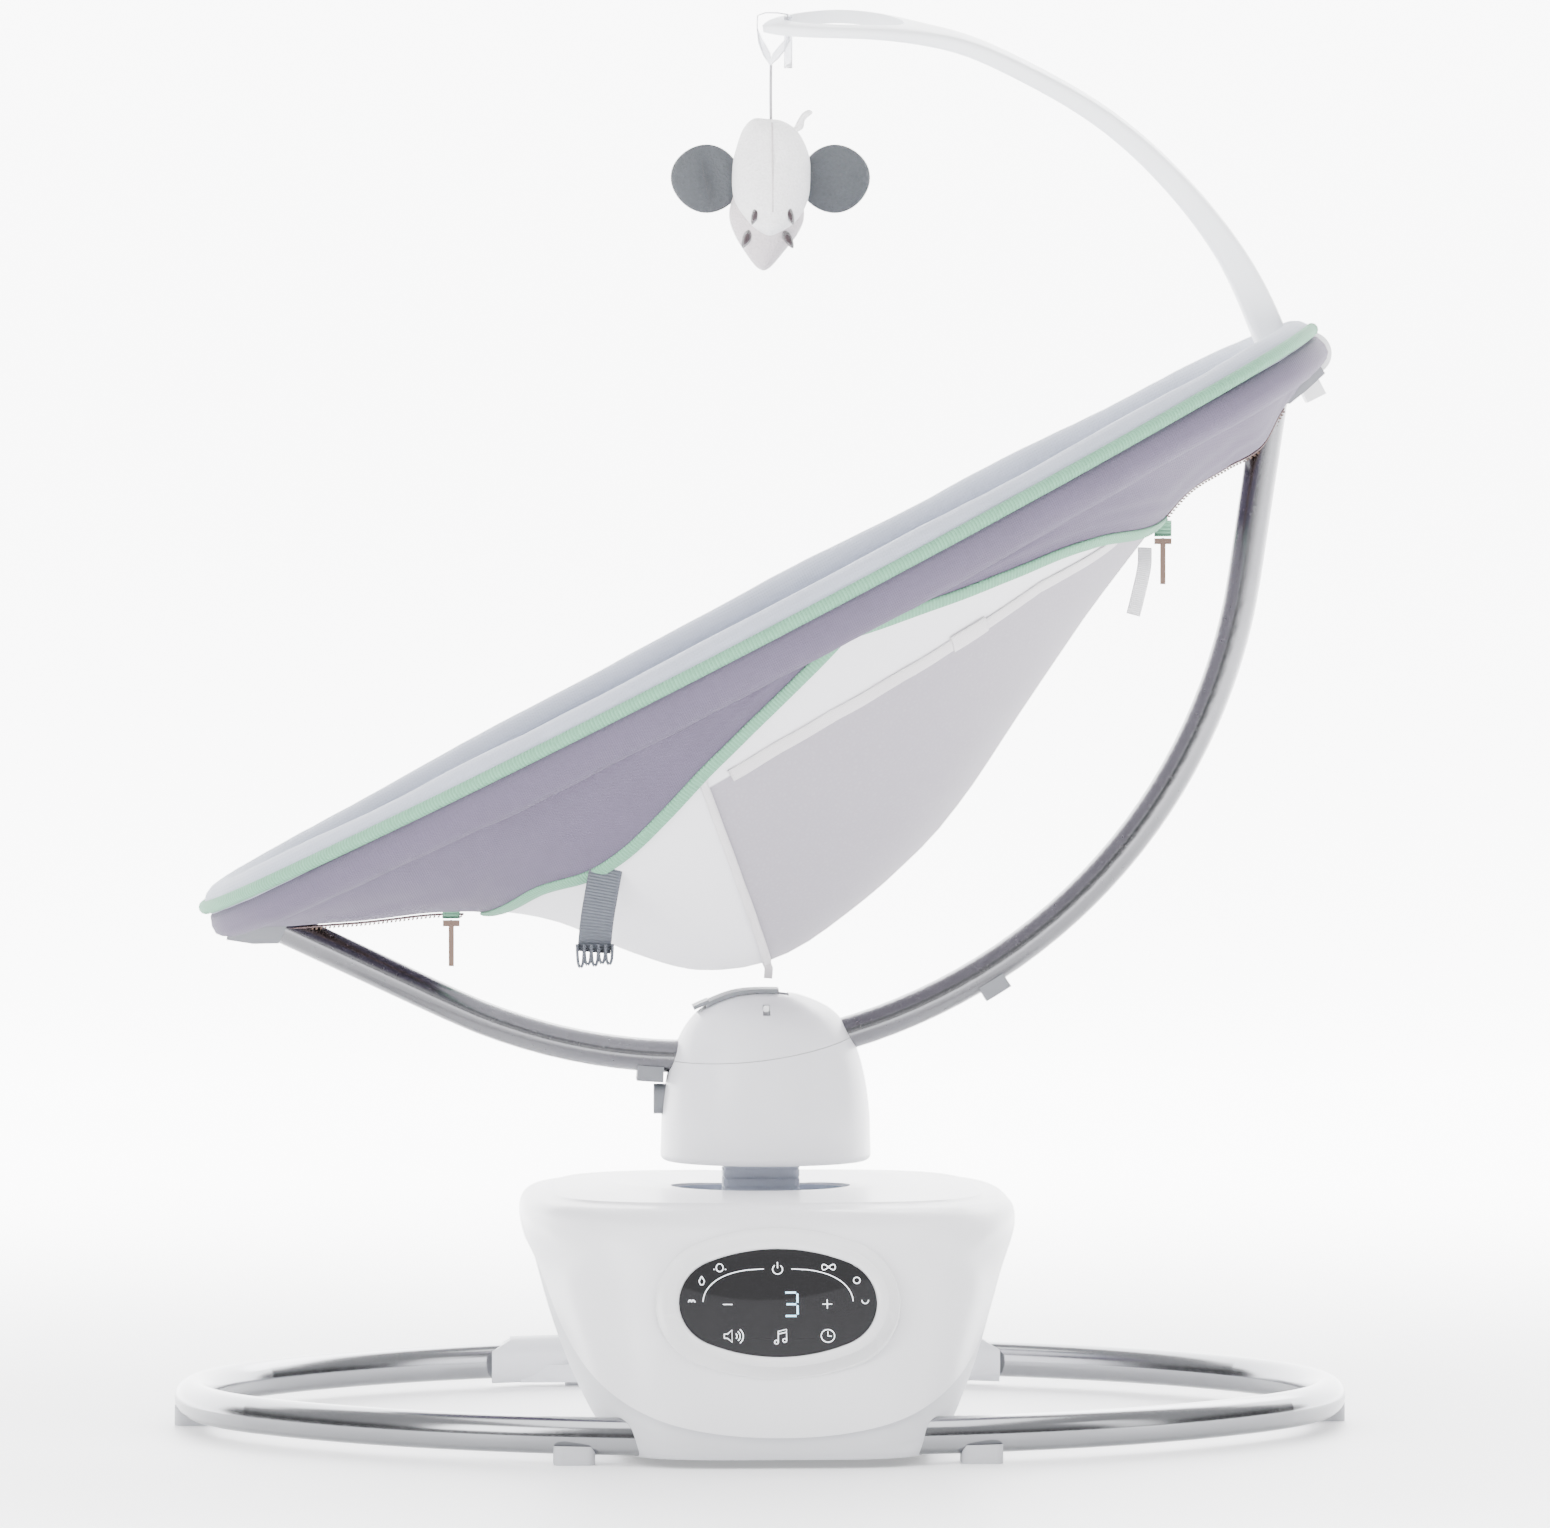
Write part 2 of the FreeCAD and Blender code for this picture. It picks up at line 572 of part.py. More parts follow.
def make_drive():
    spread, height = dim("rod_spread"), dim("rod_height")
    rods = [rod(f"guide_rod{side}", (-82, side * spread, height), (82, side * spread, height), "rod_dia / 2")
            for side in (-1, 1)]
    node(group("guide_rods", *rods), "guide_rods")
    brackets = []
    for side, label in ((-1, "left_rod_bracket"), (1, "right_rod_bracket")):
        inner, outer = sorted((side * 74, side * 82))
        upright = block(label + "_upright", (inner, -48, 20), (outer, 48, 78))
        low_x, high_x = sorted((side * 58, side * 76))
        foot = block(label + "_foot", (low_x, -36, 8), (high_x, 36, 24))
        holes = [rod(f"{label}_hole{way}", (inner - 1, way * spread, height),
                     (outer + 1, way * spread, height), "rod_dia / 2 + 0.02") for way in (-1, 1)]
        window = block(label + "_window", (inner - 1, -28, 30), (outer + 1, 28, 66))
        brackets.append(cut(label, fuse(label, upright, foot), window, *holes))
    node(group("rod_brackets", *brackets), "rod_brackets")

    pitch = math.pi * dim("gear_module")
    pinion_height = 54.0
    rack = new_body("sway_rack")
    sketch = sketch_in(rack, "XZ_Plane")
    rack_level = pinion_height + dim("gear_module") * (dim("pinion_teeth") / 2) - 1.3
    add_polygon(sketch, rack_profile(98, pitch, 8))
    pad(rack, sketch, 6.2, midplane=True)
    node(rack, "sway_rack", Placement(Vector(0, RACK_Y, rack_level), Rotation()))
    pinion = new_body("sway_pinion")
    sketch = sketch_in(pinion, "XZ_Plane")
    add_polygon(sketch, pinion_profile(int(dim("pinion_teeth")), dim("gear_module")))
    pad(pinion, sketch, 5.6, midplane=True)
    shaft = new_body("pinion_shaft")
    sketch = sketch_in(shaft, "XZ_Plane")
    sketch.addGeometry(Part.Circle(Vector(0, 0, 0), Vector(0, 0, 1), 2.0), False)
    pad(shaft, sketch, 13)
    place = Placement(Vector(0, RACK_Y, pinion_height), Rotation())
    node(fuse("sway_pinion", pinion, shaft), "sway_pinion", place)
    motor = rod("sway_motor", (0, -112, pinion_height), (0, -63.5, pinion_height), 14)
    node(motor, "sway_motor")
    plate = block("motor_plate", (-20, -63.3, 8), (20, -60.3, 72))
    foot = block("motor_foot", (-20, -80, 8), (20, -63.3, 11))
    hole = rod("motor_hole", (0, -70, pinion_height), (0, -50, pinion_height), 2.06)
    node(cut("sway_motor_bracket", fuse("motor_bracket", plate, foot), hole), "sway_motor_bracket")

    deck = block("carriage_deck", (-50, -45.4, 50), (50, 45.4, 86))
    guide = block("carriage_guide", (-29, -21, 86), (29, 21, 124))
    hangers = [block(f"carriage_hanger{side}", (-25, min(side * 17, side * 22), 28),
                     (25, max(side * 17, side * 22), 50)) for side in (-1, 1)]
    well = block("carriage_well", (-23.15, -15.15, 20), (23.15, 15.15, 130))
    bores = [rod(f"carriage_bore{side}", (-60, side * spread, height), (60, side * spread, height),
                 "rod_dia / 2 + 2") for side in (-1, 1)]
    solid_carriage = fuse("carriage_body", deck, guide, *hangers)
    node(cut("sway_carriage", solid_carriage, well, *bores), "sway_carriage")
    bushes = []
    for x in (-50, 30):
        for side in (-1, 1):
            y = side * spread
            outer = rod(f"bush{x}{side}", (x, y, height), (x + 20, y, height), "rod_dia / 2 + 2")
            inner = rod(f"bush_bore{x}{side}", (x - 1, y, height), (x + 21, y, height), "rod_dia / 2 + 0.04")
            bushes.append(cut(f"bush{x}{side}", outer, inner))
    node(group("carriage_bushes", *bushes), "carriage_bushes")
    node(cut("dust_plate", block("dust_plate_raw", (-82, -34, 124), (82, 34, 126.5)),
             block("dust_plate_hole", (-23.3, -15.3, 120), (23.3, 15.3, 135))), "dust_plate")
    gearbox = block("gearbox", (-25, -22, 14), (25, 22, 28))
    node(cut("lift_gearbox", gearbox, rod("gearbox_bore", (0, 0, 18), (0, 0, 30), 4.05)), "lift_gearbox")
    node(rod("lift_motor", (0, 22, 26.5), (0, 62, 26.5), 11.5), "lift_motor")
    node(rod("lift_screw", (0, 0, 18), (0, 0, 128), 4), "lift_screw")


def make_neck():
    """Ribbed column that the drive lifts; its hollow holds the lift screw and nut."""
    body = new_body("neck_column")
    sketch = sketch_in(body, "XY_Plane", dim("neck_bottom"))
    add_rounded_box(sketch, dim("neck_length") / 2, dim("neck_width") / 2, 4)
    pad(body, sketch, "neck_top - neck_bottom")
    hollow = sketch_in(body, "XY_Plane", dim("neck_bottom"))
    add_rounded_box(hollow, 15, 9, 0.5)
    pocket(body, hollow, 120, reversed_way=True)
    for number in range(5):
        level = 131 + 5.5 * number
        groove_outer = block(f"neck_groove{number}", (-30, -20, level), (30, 20, level + 1.2))
        groove_core = block(f"neck_core{number}", (-22.2, -14.2, level - 1), (22.2, 14.2, level + 2.2))
        body = cut(f"neck_ribs{number}", body, cut(f"neck_ring{number}", groove_outer, groove_core))
    node(body, "neck_column")
    nut = block("nut_block", (-14.8, -8.8, 33), (14.8, 8.8, 45))
    node(cut("lift_nut", nut, rod("nut_bore", (0, 0, 30), (0, 0, 50), 4.06)), "lift_nut")


# ---------------------------------------------------------------- hub

ARC_AXIS = Placement(Vector(dim("arc_centre_x"), 0, dim("arc_centre_z")), Rotation())
# radius and height of the dome's outline above its upright wall
DOME = [(62.7, 182), (61.0, 200), (54.3, 227), (48.3, 239), (39.3, 249), (27.3, 255.2), (0, 259.2)]


def dome_solid(grow, bottom):
    """Dome grown outwards by a few millimetres, closed below at the given height."""
    base, top = dim("hub_bottom"), dim("hub_top")
    stretch_r = 1 + grow / dim("hub_radius")
    stretch_z = 1 + grow / (top - base)
    points = [Vector(radius * stretch_r, 0, base + (z - base) * stretch_z) for radius, z in DOME]
    curve = Part.BSplineCurve()
    curve.interpolate(points, InitialTangent=Vector(-0.03, 0, 1), FinalTangent=Vector(-1, 0, 0))
    foot = Vector(dim("hub_radius") * stretch_r, 0, bottom)
    edges = [Part.LineSegment(Vector(0, 0, bottom), foot).toShape(),
             Part.LineSegment(foot, points[0]).toShape(), curve.toShape(),
             Part.LineSegment(points[-1], Vector(0, 0, bottom)).toShape()]
    solid = Part.Face(Part.Wire(edges)).revolve(Vector(), Vector(0, 0, 1), 360)
    solid.translate(Vector(dim("hub_centre"), 0, 0))
    return solid


def arc_ring(name, inner, outer, half_breadth):
    """Flat ring about the arc tube's centre, between two radii."""
    body = new_body(name)
    sketch = sketch_in(body, "XZ_Plane")
    add_circle(sketch, 0, 0, outer)
    if inner:
        add_circle(sketch, 0, 0, inner)
    pad(body, sketch, 2 * half_breadth, midplane=True)
    body.Placement = ARC_AXIS
    return body


def arc_section(sketch, depth, breadth):
    ellipse = Part.Ellipse(Vector(0, -dim("arc_radius"), 0), breadth, depth)
    sketch.addGeometry(ellipse, False)


def arc_channel(name, clearance):
    body = new_body(name)
    sketch = sketch_in(body, "YZ_Plane")
    arc_section(sketch, dim("arc_depth") + clearance, dim("arc_breadth") + clearance)
    feature = body.newObject("PartDesign::Revolution", name + "_turn")
    feature.Profile = sketch
    feature.ReferenceAxis = (sketch, ["H_Axis"])
    feature.Angle = 360
    DOC.recompute()
    body.Placement = ARC_AXIS
    return body


LEVER_AXIS = (2.1, 250.8)


def make_hub():
    wall = dim("hub_wall")
    base = dim("hub_bottom")
    middle = dim("hub_centre")
    outside = dome_solid(0, base)
    rim = [edge for edge in outside.Edges if edge.Length > 300 and abs(edge.CenterOfMass.z - base) < 0.1]
    outside = outside.makeFillet(4, rim)
    hollow = dome_solid(-wall, base + 5)
    shell = solid_feature("dome_shell", outside.cut(hollow))
    full = solid_feature("dome_full", outside)
    channel = arc_channel("tube_channel", 0.5)
    above = arc_ring("above_parting", "", "arc_radius + 2", 90)
    above_cup = arc_ring("above_cup", "", "arc_radius + 2.3", 90)
    pin_x, pin_z = LEVER_AXIS

    boss = common("pin_boss", fuse("pin_boss_raw",
                  block("boss_front", (pin_x - 5, -50, 246), (pin_x + 5, -15, 257)),
                  block("boss_back", (pin_x - 5, 15, 246), (pin_x + 5, 50, 257))), full)
    opening = block("lever_opening", (-9, -14.6, 236), (16.5, 14.6, 270))
    pin_hole = rod("pin_hole", (pin_x, -34, pin_z), (pin_x, 34, pin_z), 2.02)
    pin_slot = block("pin_slot", (pin_x - 2.2, -60, 246.8), (pin_x + 2.2, -31, pin_z + 2.2))
    cap = cut("hub_cap", fuse("cap_body", common("cap_shell", shell, above), boss),
              channel, opening, pin_hole, pin_slot)
    node(cap, "hub_cap")

    socket = block("neck_socket", (middle - 31, -21, base + 2), (middle + 25, 21, 200))
    neck_hole = block("neck_hole", (-23.1, -15.1, 150), (23.1, 15.1, 198.1))
    button_hole = block("button_hole", (-70, -7.4, 185.6), (-45, 7.4, 204.4))
    places = [(middle + way, y) for way in (-30, 30) for y in (-38, 38)]
    screws = [rod(f"hub_screw{number}", (x, y, base), (x, y, base + 5), 2.5)
              for number, (x, y) in enumerate(places)]
    holes = [rod(f"hub_hole{number}", (x, y, base - 1), (x, y, base + 6), 2.5)
             for number, (x, y) in enumerate(places)]
    cup = cut("hub_cup", fuse("cup_body", cut("cup_shell", shell, above_cup), socket),
              channel, neck_hole, button_hole, fuse("hub_holes", *holes))
    node(cup, "hub_cup")
    node(group("hub_screws", *screws), "hub_screws")

    shoes = []
    for label, low, high, (bottom, top) in (
            ("lower_tube_shoe", "arc_radius + 10.6", "arc_radius + 15", (200.4, 240)),
            ("upper_tube_shoe", "arc_radius - 16", "arc_radius - 10.6", (215, 248))):
        ring = arc_ring(label + "_ring", low, high, 13)
        box = block(label + "_box", (middle - 20, -13, bottom), (middle + 20, 13, top))
        shoes.append(common(label, ring, box))
    node(group("tube_shoes", *shoes), "tube_shoes")

    node(rod("lever_pin", (pin_x, -33.5, pin_z), (pin_x, 33.5, pin_z), 2.0), "lever_pin")
    band = solid_feature("lever_band_full", dome_solid(2.7, base).cut(dome_solid(0.35, base - 1)))
    strip = common("lever_band", band, block("lever_strip", (-33, -14, 236), (10.5, 14, 270)))
    eye = rod("lever_eye", (pin_x, -14, pin_z), (pin_x, 14, pin_z), 4.2)
    web = block("lever_web", (pin_x - 4, -14, pin_z), (pin_x + 6, 14, 260.0))
    tilt = Rotation(Vector(0, 1, 0), -24)
    tab = block("lever_tab", (-41, -14, 252.4), (-31.0, 14, 254.6), tilt, (-32.5, 0, 252.6))
    hole = rod("lever_hole", (pin_x, -20, pin_z), (pin_x, 20, pin_z), 2.06)
    node(cut("recline_lever", fuse("lever_body", strip, eye, web, tab), hole), "recline_lever")

    body = new_body("release_button")
    sketch = sketch_in(body, "YZ_Plane", -64.3)
    add_rounded_box(sketch, 7, 9, 6)
    pad(body, sketch, 16.3)
    flange = sketch_in(body, "YZ_Plane", -51)
    add_rounded_box(flange, 10, 12, 3)
    pad(body, flange, 3)
    node(body, "release_button", Placement(Vector(0, 0, 195), Rotation()))
    spring = cut("button_spring", rod("spring_outside", (-44.8, 0, 195), (-28.1, 0, 195), 4),
                 rod("spring_inside", (-46, 0, 195), (-27, 0, 195), 3))
    node(spring, "button_spring")


# ---------------------------------------------------------------- arc tube and seat frame

def arc_point(angle, run=0.0):
    """Point of the arc tube's centreline; the angle grows towards the head end."""
    turn = math.radians(angle)
    way = math.copysign(run, angle)
    x = dim("arc_centre_x") + dim("arc_radius") * math.sin(turn) + way * math.cos(turn)
    z = dim("arc_centre_z") - dim("arc_radius") * math.cos(turn) + way * math.sin(turn)
    return x, z


def make_arc_tube():
    body = new_body("arc_tube")
    depth, breadth, wall = dim("arc_depth"), dim("arc_breadth"), dim("arc_wall")
    whole = dim("arc_foot_angle") + dim("arc_head_angle")
    turned = sketch_in(body, "YZ_Plane")
    head_end = sketch_in(body, "YZ_Plane")
    foot_end = sketch_in(body, "YZ_Plane")
    foot_end.AttachmentOffset = Placement(Vector(), Rotation(Vector(1, 0, 0), whole))
    for sketch in (turned, head_end, foot_end):
        arc_section(sketch, depth, breadth)
        arc_section(sketch, depth - wall, breadth - wall)
    turn = body.newObject("PartDesign::Revolution", "arc_turn")
    turn.Profile = turned
    turn.ReferenceAxis = (turned, ["H_Axis"])
    bind(turn, "Angle", "arc_foot_angle + arc_head_angle")
    DOC.recompute()
    pad(body, head_end, "arc_head_run")
    foot_run = pad(body, foot_end, "arc_foot_run")
    foot_run.Reversed = True
    DOC.recompute()
    place = Placement(ARC_AXIS.Base, Rotation(Vector(0, 1, 0), -dim("arc_head_angle")))
    node(body, "arc_tube", place)


def make_end_stops():
    """Stops clamped under the arc tube that limit the recline."""
    stops = []
    for label, low, high in (("foot_end_stop", -5.1, -2.5), ("head_end_stop", 30.4, 33.2)):
        ring = arc_ring(label + "_ring", "arc_radius - 4", "arc_radius + 15.5", 11)
        centre_x, centre_z = dim("arc_centre_x"), dim("arc_centre_z")
        corners = [(0, 0)]
        for angle in (low, high):
            turn = math.radians(angle)
            corners.append((400 * math.sin(turn), -400 * math.cos(turn)))
        wedge = new_body(label + "_wedge")
        sketch = sketch_in(wedge, "XZ_Plane")
        add_polygon(sketch, corners)
        pad(wedge, sketch, 22, midplane=True)
        wedge.Placement = Placement(Vector(centre_x, 0, centre_z), Rotation())
        saddle = common(label, ring, wedge)
        stops.append(cut(label, saddle, arc_channel(label + "_seat", 0.02)))
    node(group("arc_end_stops", *stops), "arc_end_stops")


class Egg:
    """Four-arc egg outline of the seat hoop, in its own plane; +x is the head end."""

    def __init__(self):
        half, width = dim("hoop_half_length"), dim("hoop_half_width")
        self.head_radius, self.foot_radius = dim("hoop_head_radius"), dim("hoop_foot_radius")
        self.head, self.foot = half - self.head_radius, half - self.foot_radius
        a, b = width - self.head_radius, width - self.foot_radius
        square = b - a
        linear = -2 * (b * self.head + a * self.foot)
        constant = b * self.head ** 2 - a * self.foot ** 2 - a * a * b + a * b * b
        self.mid = (-linear - math.sqrt(linear ** 2 - 4 * square * constant)) / (2 * square)
        self.drop = ((self.head - self.mid) ** 2 - a * a) / (2 * a)
        self.side_radius = width + self.drop
        self.head_turn = math.degrees(math.atan2(self.drop, self.head - self.mid))
        self.foot_turn = math.degrees(math.atan2(self.drop, -self.foot - self.mid))

    def head_half(self):
        return [arc_between((self.mid, self.drop), self.side_radius, -90, -self.head_turn),
                arc_between((self.head, 0), self.head_radius, -self.head_turn, self.head_turn),
                arc_between((self.mid, -self.drop), self.side_radius, self.head_turn, 90)]

    def foot_half(self):
        return [arc_between((self.mid, -self.drop), self.side_radius, 90, self.foot_turn),
                arc_between((-self.foot, 0), self.foot_radius, self.foot_turn, 360 - self.foot_turn),
                arc_between((self.mid, self.drop), self.side_radius, 360 - self.foot_turn, 270)]

    def half_width(self, station):
        """Half width of the outline at a distance along the seat."""
        if station > self.head + self.head_radius * math.cos(math.radians(self.head_turn)):
            return math.sqrt(max(self.head_radius ** 2 - (station - self.head) ** 2, 0))
        if station < -self.foot + self.foot_radius * math.cos(math.radians(self.foot_turn)):
            return math.sqrt(max(self.foot_radius ** 2 - (station + self.foot) ** 2, 0))
        return math.sqrt(self.side_radius ** 2 - (station - self.mid) ** 2) - self.drop


EGG = Egg()
SEAT = Placement(Vector(dim("seat_x"), 0, dim("seat_z")), Rotation(Vector(0, 1, 0), -dim("seat_tilt")))


def seat_point(along, up):
    """X and Z of a point given along the seat and square to it, in the middle plane."""
    point = SEAT.multVec(Vector(along, 0, up))
    return point.x, point.z


def hoop_pipe(name, dia, wall):
    width = dim("hoop_half_width")
    head = pipe_body(name + "_head", EGG.head_half(), EGG.mid, -width, dia, wall)
    foot = pipe_body(name + "_foot", EGG.foot_half(), EGG.mid, width, dia, wall)
    return head, foot


def make_hoop():
    head, foot = hoop_pipe("hoop", "hoop_dia", "hoop_wall")
    node(head, "head_frame_tube", SEAT)
    node(foot, "foot_frame_tube", SEAT)
    width = dim("hoop_half_width")
    joiners = []
    for side in (-1, 1):
        y = side * (width - 0.25)
        joiners.append(rod(f"joiner{side}", (EGG.mid - 25, y, 0), (EGG.mid + 25, y, 0),
                           "hoop_dia / 2 - hoop_wall - 0.5"))
    node(group("frame_joiners", *joiners), "frame_joiners", SEAT)


def hoop_cutter(name, formula):
    head, foot = hoop_pipe(name, formula, "")
    both = fuse(name, head, foot)
    both.Placement = SEAT
    return both


def bracket_block(name, corners, half_width):
    body = new_body(name)
    sketch = sketch_in(body, "XZ_Plane")
    add_polygon(sketch, corners)
    pad(body, sketch, 2 * half_width, midplane=True)
    return body


def tube_spigot(name, end, angle):
    """Oval plug that fits the bore of the arc tube's end."""
    body = new_body(name)
    sketch = sketch_in(body, "YZ_Plane", -22)
    shrink = dim("arc_wall") + 0.1
    sketch.addGeometry(Part.Ellipse(Vector(), dim("arc_breadth") - shrink, dim("arc_depth") - shrink), False)
    pad(body, sketch, 26)
    body.Placement = Placement(Vector(end[0], 0, end[1]), Rotation(Vector(0, 1, 0), -angle))
    return body


def make_brackets(hoop):
    foot_angle, head_angle = dim("arc_foot_angle"), dim("arc_head_angle")
    end_x, end_z = arc_point(-foot_angle, dim("arc_foot_run"))
    hoop_x, hoop_z = seat_point(-dim("hoop_half_length"), 0)
    corners = [(end_x - 4.1, end_z - 8.7), (hoop_x + 15, hoop_z - 14), (hoop_x - 1, hoop_z - 11.5),
               (hoop_x, hoop_z), (hoop_x + 11, hoop_z + 9), (end_x + 4.1, end_z + 8.7)]
    plug = tube_spigot("foot_plug", (end_x, end_z), 180 - foot_angle)
    node(cut("foot_bracket", fuse("foot_bracket", bracket_block("foot_block", corners, 15), plug), hoop),
         "foot_bracket")

    end_x, end_z = arc_point(head_angle, dim("arc_head_run"))
    hoop_x, hoop_z = seat_point(dim("hoop_half_length"), 0)
    corners = [(end_x + 9.5, end_z - 1.4), (hoop_x - 3, hoop_z - 22), (hoop_x + 8, hoop_z - 12),
               (hoop_x, hoop_z), (hoop_x - 14, hoop_z - 4), (end_x - 4, end_z + 16),
               (end_x - 9.5, end_z + 1.4)]
    plug = tube_spigot("head_plug", (end_x, end_z), head_angle)
    clip_room = rod("clip_room", (hoop_x, -12.3, hoop_z), (hoop_x, 12.3, hoop_z), 32)
    arms = cut("head_arms", bracket_block("head_block", corners, 24), clip_room)
    node(cut("head_bracket", fuse("head_bracket", arms, plug), hoop), "head_bracket")


# ---------------------------------------------------------------- toy bar and toy

# centreline X and Z, breadth across, depth in its plane, lean of the band about its run
BAR_STATIONS = [
    (1.5, 836.6, 3, 4, 15), (9, 838, 22, 7, 15), (25, 839, 42, 8, 15), (50, 839.5, 54, 8, 15),
    (75, 837.5, 46, 8.5, 15),
    (95, 834, 34, 9, 15), (120, 828, 26, 10, 14), (155, 813, 24, 11, 12), (205, 784, 24, 12.5, 9),
    (255, 738, 24, 15, 6), (287, 694, 23, 18, 3), (305, 656, 22, 20, 0), (314, 637, 20, 18, 0)]
EYE_CENTRE = (50.5, 838.3)
EYE_HALF = (35.5, 17.5)
HANG = (6.3, 815.0)


def bar_section(index):
    x, z, breadth, depth, lean = BAR_STATIONS[index]
    before = BAR_STATIONS[max(index - 1, 0)]
    after = BAR_STATIONS[min(index + 1, len(BAR_STATIONS) - 1)]
    run = Vector(after[0] - before[0], 0, after[1] - before[1]).normalize()
    roll = Rotation(run, lean)
    across = roll.multVec(Vector(0, 1, 0))
    up = roll.multVec(run.cross(Vector(0, 1, 0)))
    points = []
    for step in range(16):
        angle = math.pi * step / 8
        cosine, sine = math.cos(angle), math.sin(angle)
        wide = breadth / 2 * math.copysign(abs(cosine) ** 0.45, cosine)
        tall = depth / 2 * math.copysign(abs(sine) ** 0.45, sine)
        points.append(Vector(x, 0, z) + across * wide + up * tall)
    curve = Part.BSplineCurve()
    curve.interpolate(points, PeriodicFlag=True)
    return Part.Wire(curve.toShape())


def make_toy_bar(hoop):
    bar = Part.makeLoft([bar_section(index) for index in range(len(BAR_STATIONS))], True, False)
    eye = Part.makeCylinder(EYE_HALF[0], 60, Vector(0, 0, -30))
    squeeze = FreeCAD.Matrix()
    squeeze.scale(1, EYE_HALF[1] / EYE_HALF[0], 1)
    eye = eye.transformGeometry(squeeze)
    eye.rotate(Vector(), Vector(1, 0, 0), -BAR_STATIONS[3][4])
    eye.translate(Vector(EYE_CENTRE[0], 0, EYE_CENTRE[1]))
    hoop_x, hoop_z = seat_point(dim("hoop_half_length"), 0)
    around = rod("clip_space", (hoop_x, -30, hoop_z), (hoop_x, 30, hoop_z), 13.0)
    node(cut("toy_bar", solid_feature("toy_bar_blank", bar.cut(eye)), around), "toy_bar")

    ring = rod("clip_ring", (hoop_x, -11.5, hoop_z), (hoop_x, 11.5, hoop_z), 13.0)
    tail = bracket_block("clip_tail", [(hoop_x + 2, hoop_z - 9), (hoop_x + 10, hoop_z - 24),
                                       (hoop_x - 1, hoop_z - 29.5), (hoop_x - 7, hoop_z - 18)], 10)
    bore = rod("clip_bore", (hoop_x, -15, hoop_z), (hoop_x, 15, hoop_z), 8.75)
    node(cut("toy_bar_clip", fuse("toy_bar_clip", ring, tail), bore), "toy_bar_clip")


def make_toy():
    x, top = HANG
    outline = [(-2.5, 846.5), (17.4, 846.5), (17.4, 813.0), (15.8, 813.0), (15.8, 827.0), (7.6, 815.5),
               (5.0, 815.5), (-2.5, 832.0)]
    window = [(-1.4, 845.4), (15.9, 845.4), (15.9, 830.0), (6.3, 818.0), (-1.4, 833.0)]
    strap = bracket_block("strap_outline", outline, 4.0)
    node(cut("toy_strap", strap, bracket_block("strap_window", window, 6.0)), "toy_strap")
    ribbon = block("toy_ribbon_raw", (x - 0.5, -2.5, 783.0), (x + 0.5, 2.5, top))
    crown = rod("toy_ribbon_crown", (x, -2.5, top), (x, 2.5, top), 0.45)
    node(fuse("toy_ribbon_looped", ribbon, crown), "toy_ribbon")
    profile = [(0, 783), (12, 780), (21, 765), (24, 748), (22, 730), (20, 717), (11, 700), (0, 692)]
    curve = Part.BSplineCurve()
    curve.interpolate([Vector(radius, 0, z) for radius, z in profile],
                      InitialTangent=Vector(1, 0, 0), FinalTangent=Vector(-1, 0, 0))
    edge = Part.LineSegment(Vector(0, 0, 692), Vector(0, 0, 783)).toShape()
    plush = Part.Face(Part.Wire([curve.toShape(), edge])).revolve(Vector(), Vector(0, 0, 1), 360)
    plush.translate(Vector(x, 0, 0))
    stuffed = solid_feature("toy_body", plush)
    node(stuffed, "toy_body")
    ears = []
    for side, label in ((-1, "left_toy_ear"), (1, "right_toy_ear")):
        place = Placement(Vector(x + side * 39, 4, 747), Rotation(Vector(1, 0, 0), 90))
        ear = primitive("Cylinder", label + "_disc", place, Radius=21, Height=8)
        ears.append(cut(label, ear, stuffed))
    node(group("toy_ears", *ears), "toy_ears")


# ---------------------------------------------------------------- soft seat

# distance along the seat, depth of the hammock below the hoop
HAMMOCK = [(-313, 27), (-285, 40), (-245, 55), (-200, 86), (-155, 135), (-110, 166), (-60, 170), (0, 160),
           (60, 137), (130, 100), (200, 64), (265, 38), (311, 17)]
FOLD = 2.4


def hammock_section(station, depth, top, raise_by, thickness, gap):
    """Closed crescent across the seat: a U of cloth hung between the two sides."""
    slope = (EGG.half_width(station + 1) - EGG.half_width(station - 1)) / 2
    half = EGG.half_width(station) - gap * math.sqrt(1 + slope ** 2)
    lower, upper = [], []
    for step in range(-6, 7):
        share = step / 6
        shape = 1 - abs(share) ** FOLD
        lower.append(Vector(station, share * half, top - (depth - top - raise_by) * shape))
        upper.append(Vector(station, share * (half - thickness),
                            top + 0.1 - (depth - top - raise_by - thickness) * shape))
    under, over = Part.BSplineCurve(), Part.BSplineCurve()
    under.interpolate(lower)
    over.interpolate(list(reversed(upper)))
    edges = [under.toShape(), Part.LineSegment(lower[-1], upper[-1]).toShape(), over.toShape(),
             Part.LineSegment(upper[0], lower[0]).toShape()]
    return Part.Wire(edges)


def hammock_shell(stations, top, raise_by, thickness, gap):
    wires = [hammock_section(station, depth, top, raise_by, thickness, gap) for station, depth in stations]
    return Part.makeLoft(wires, True, False)


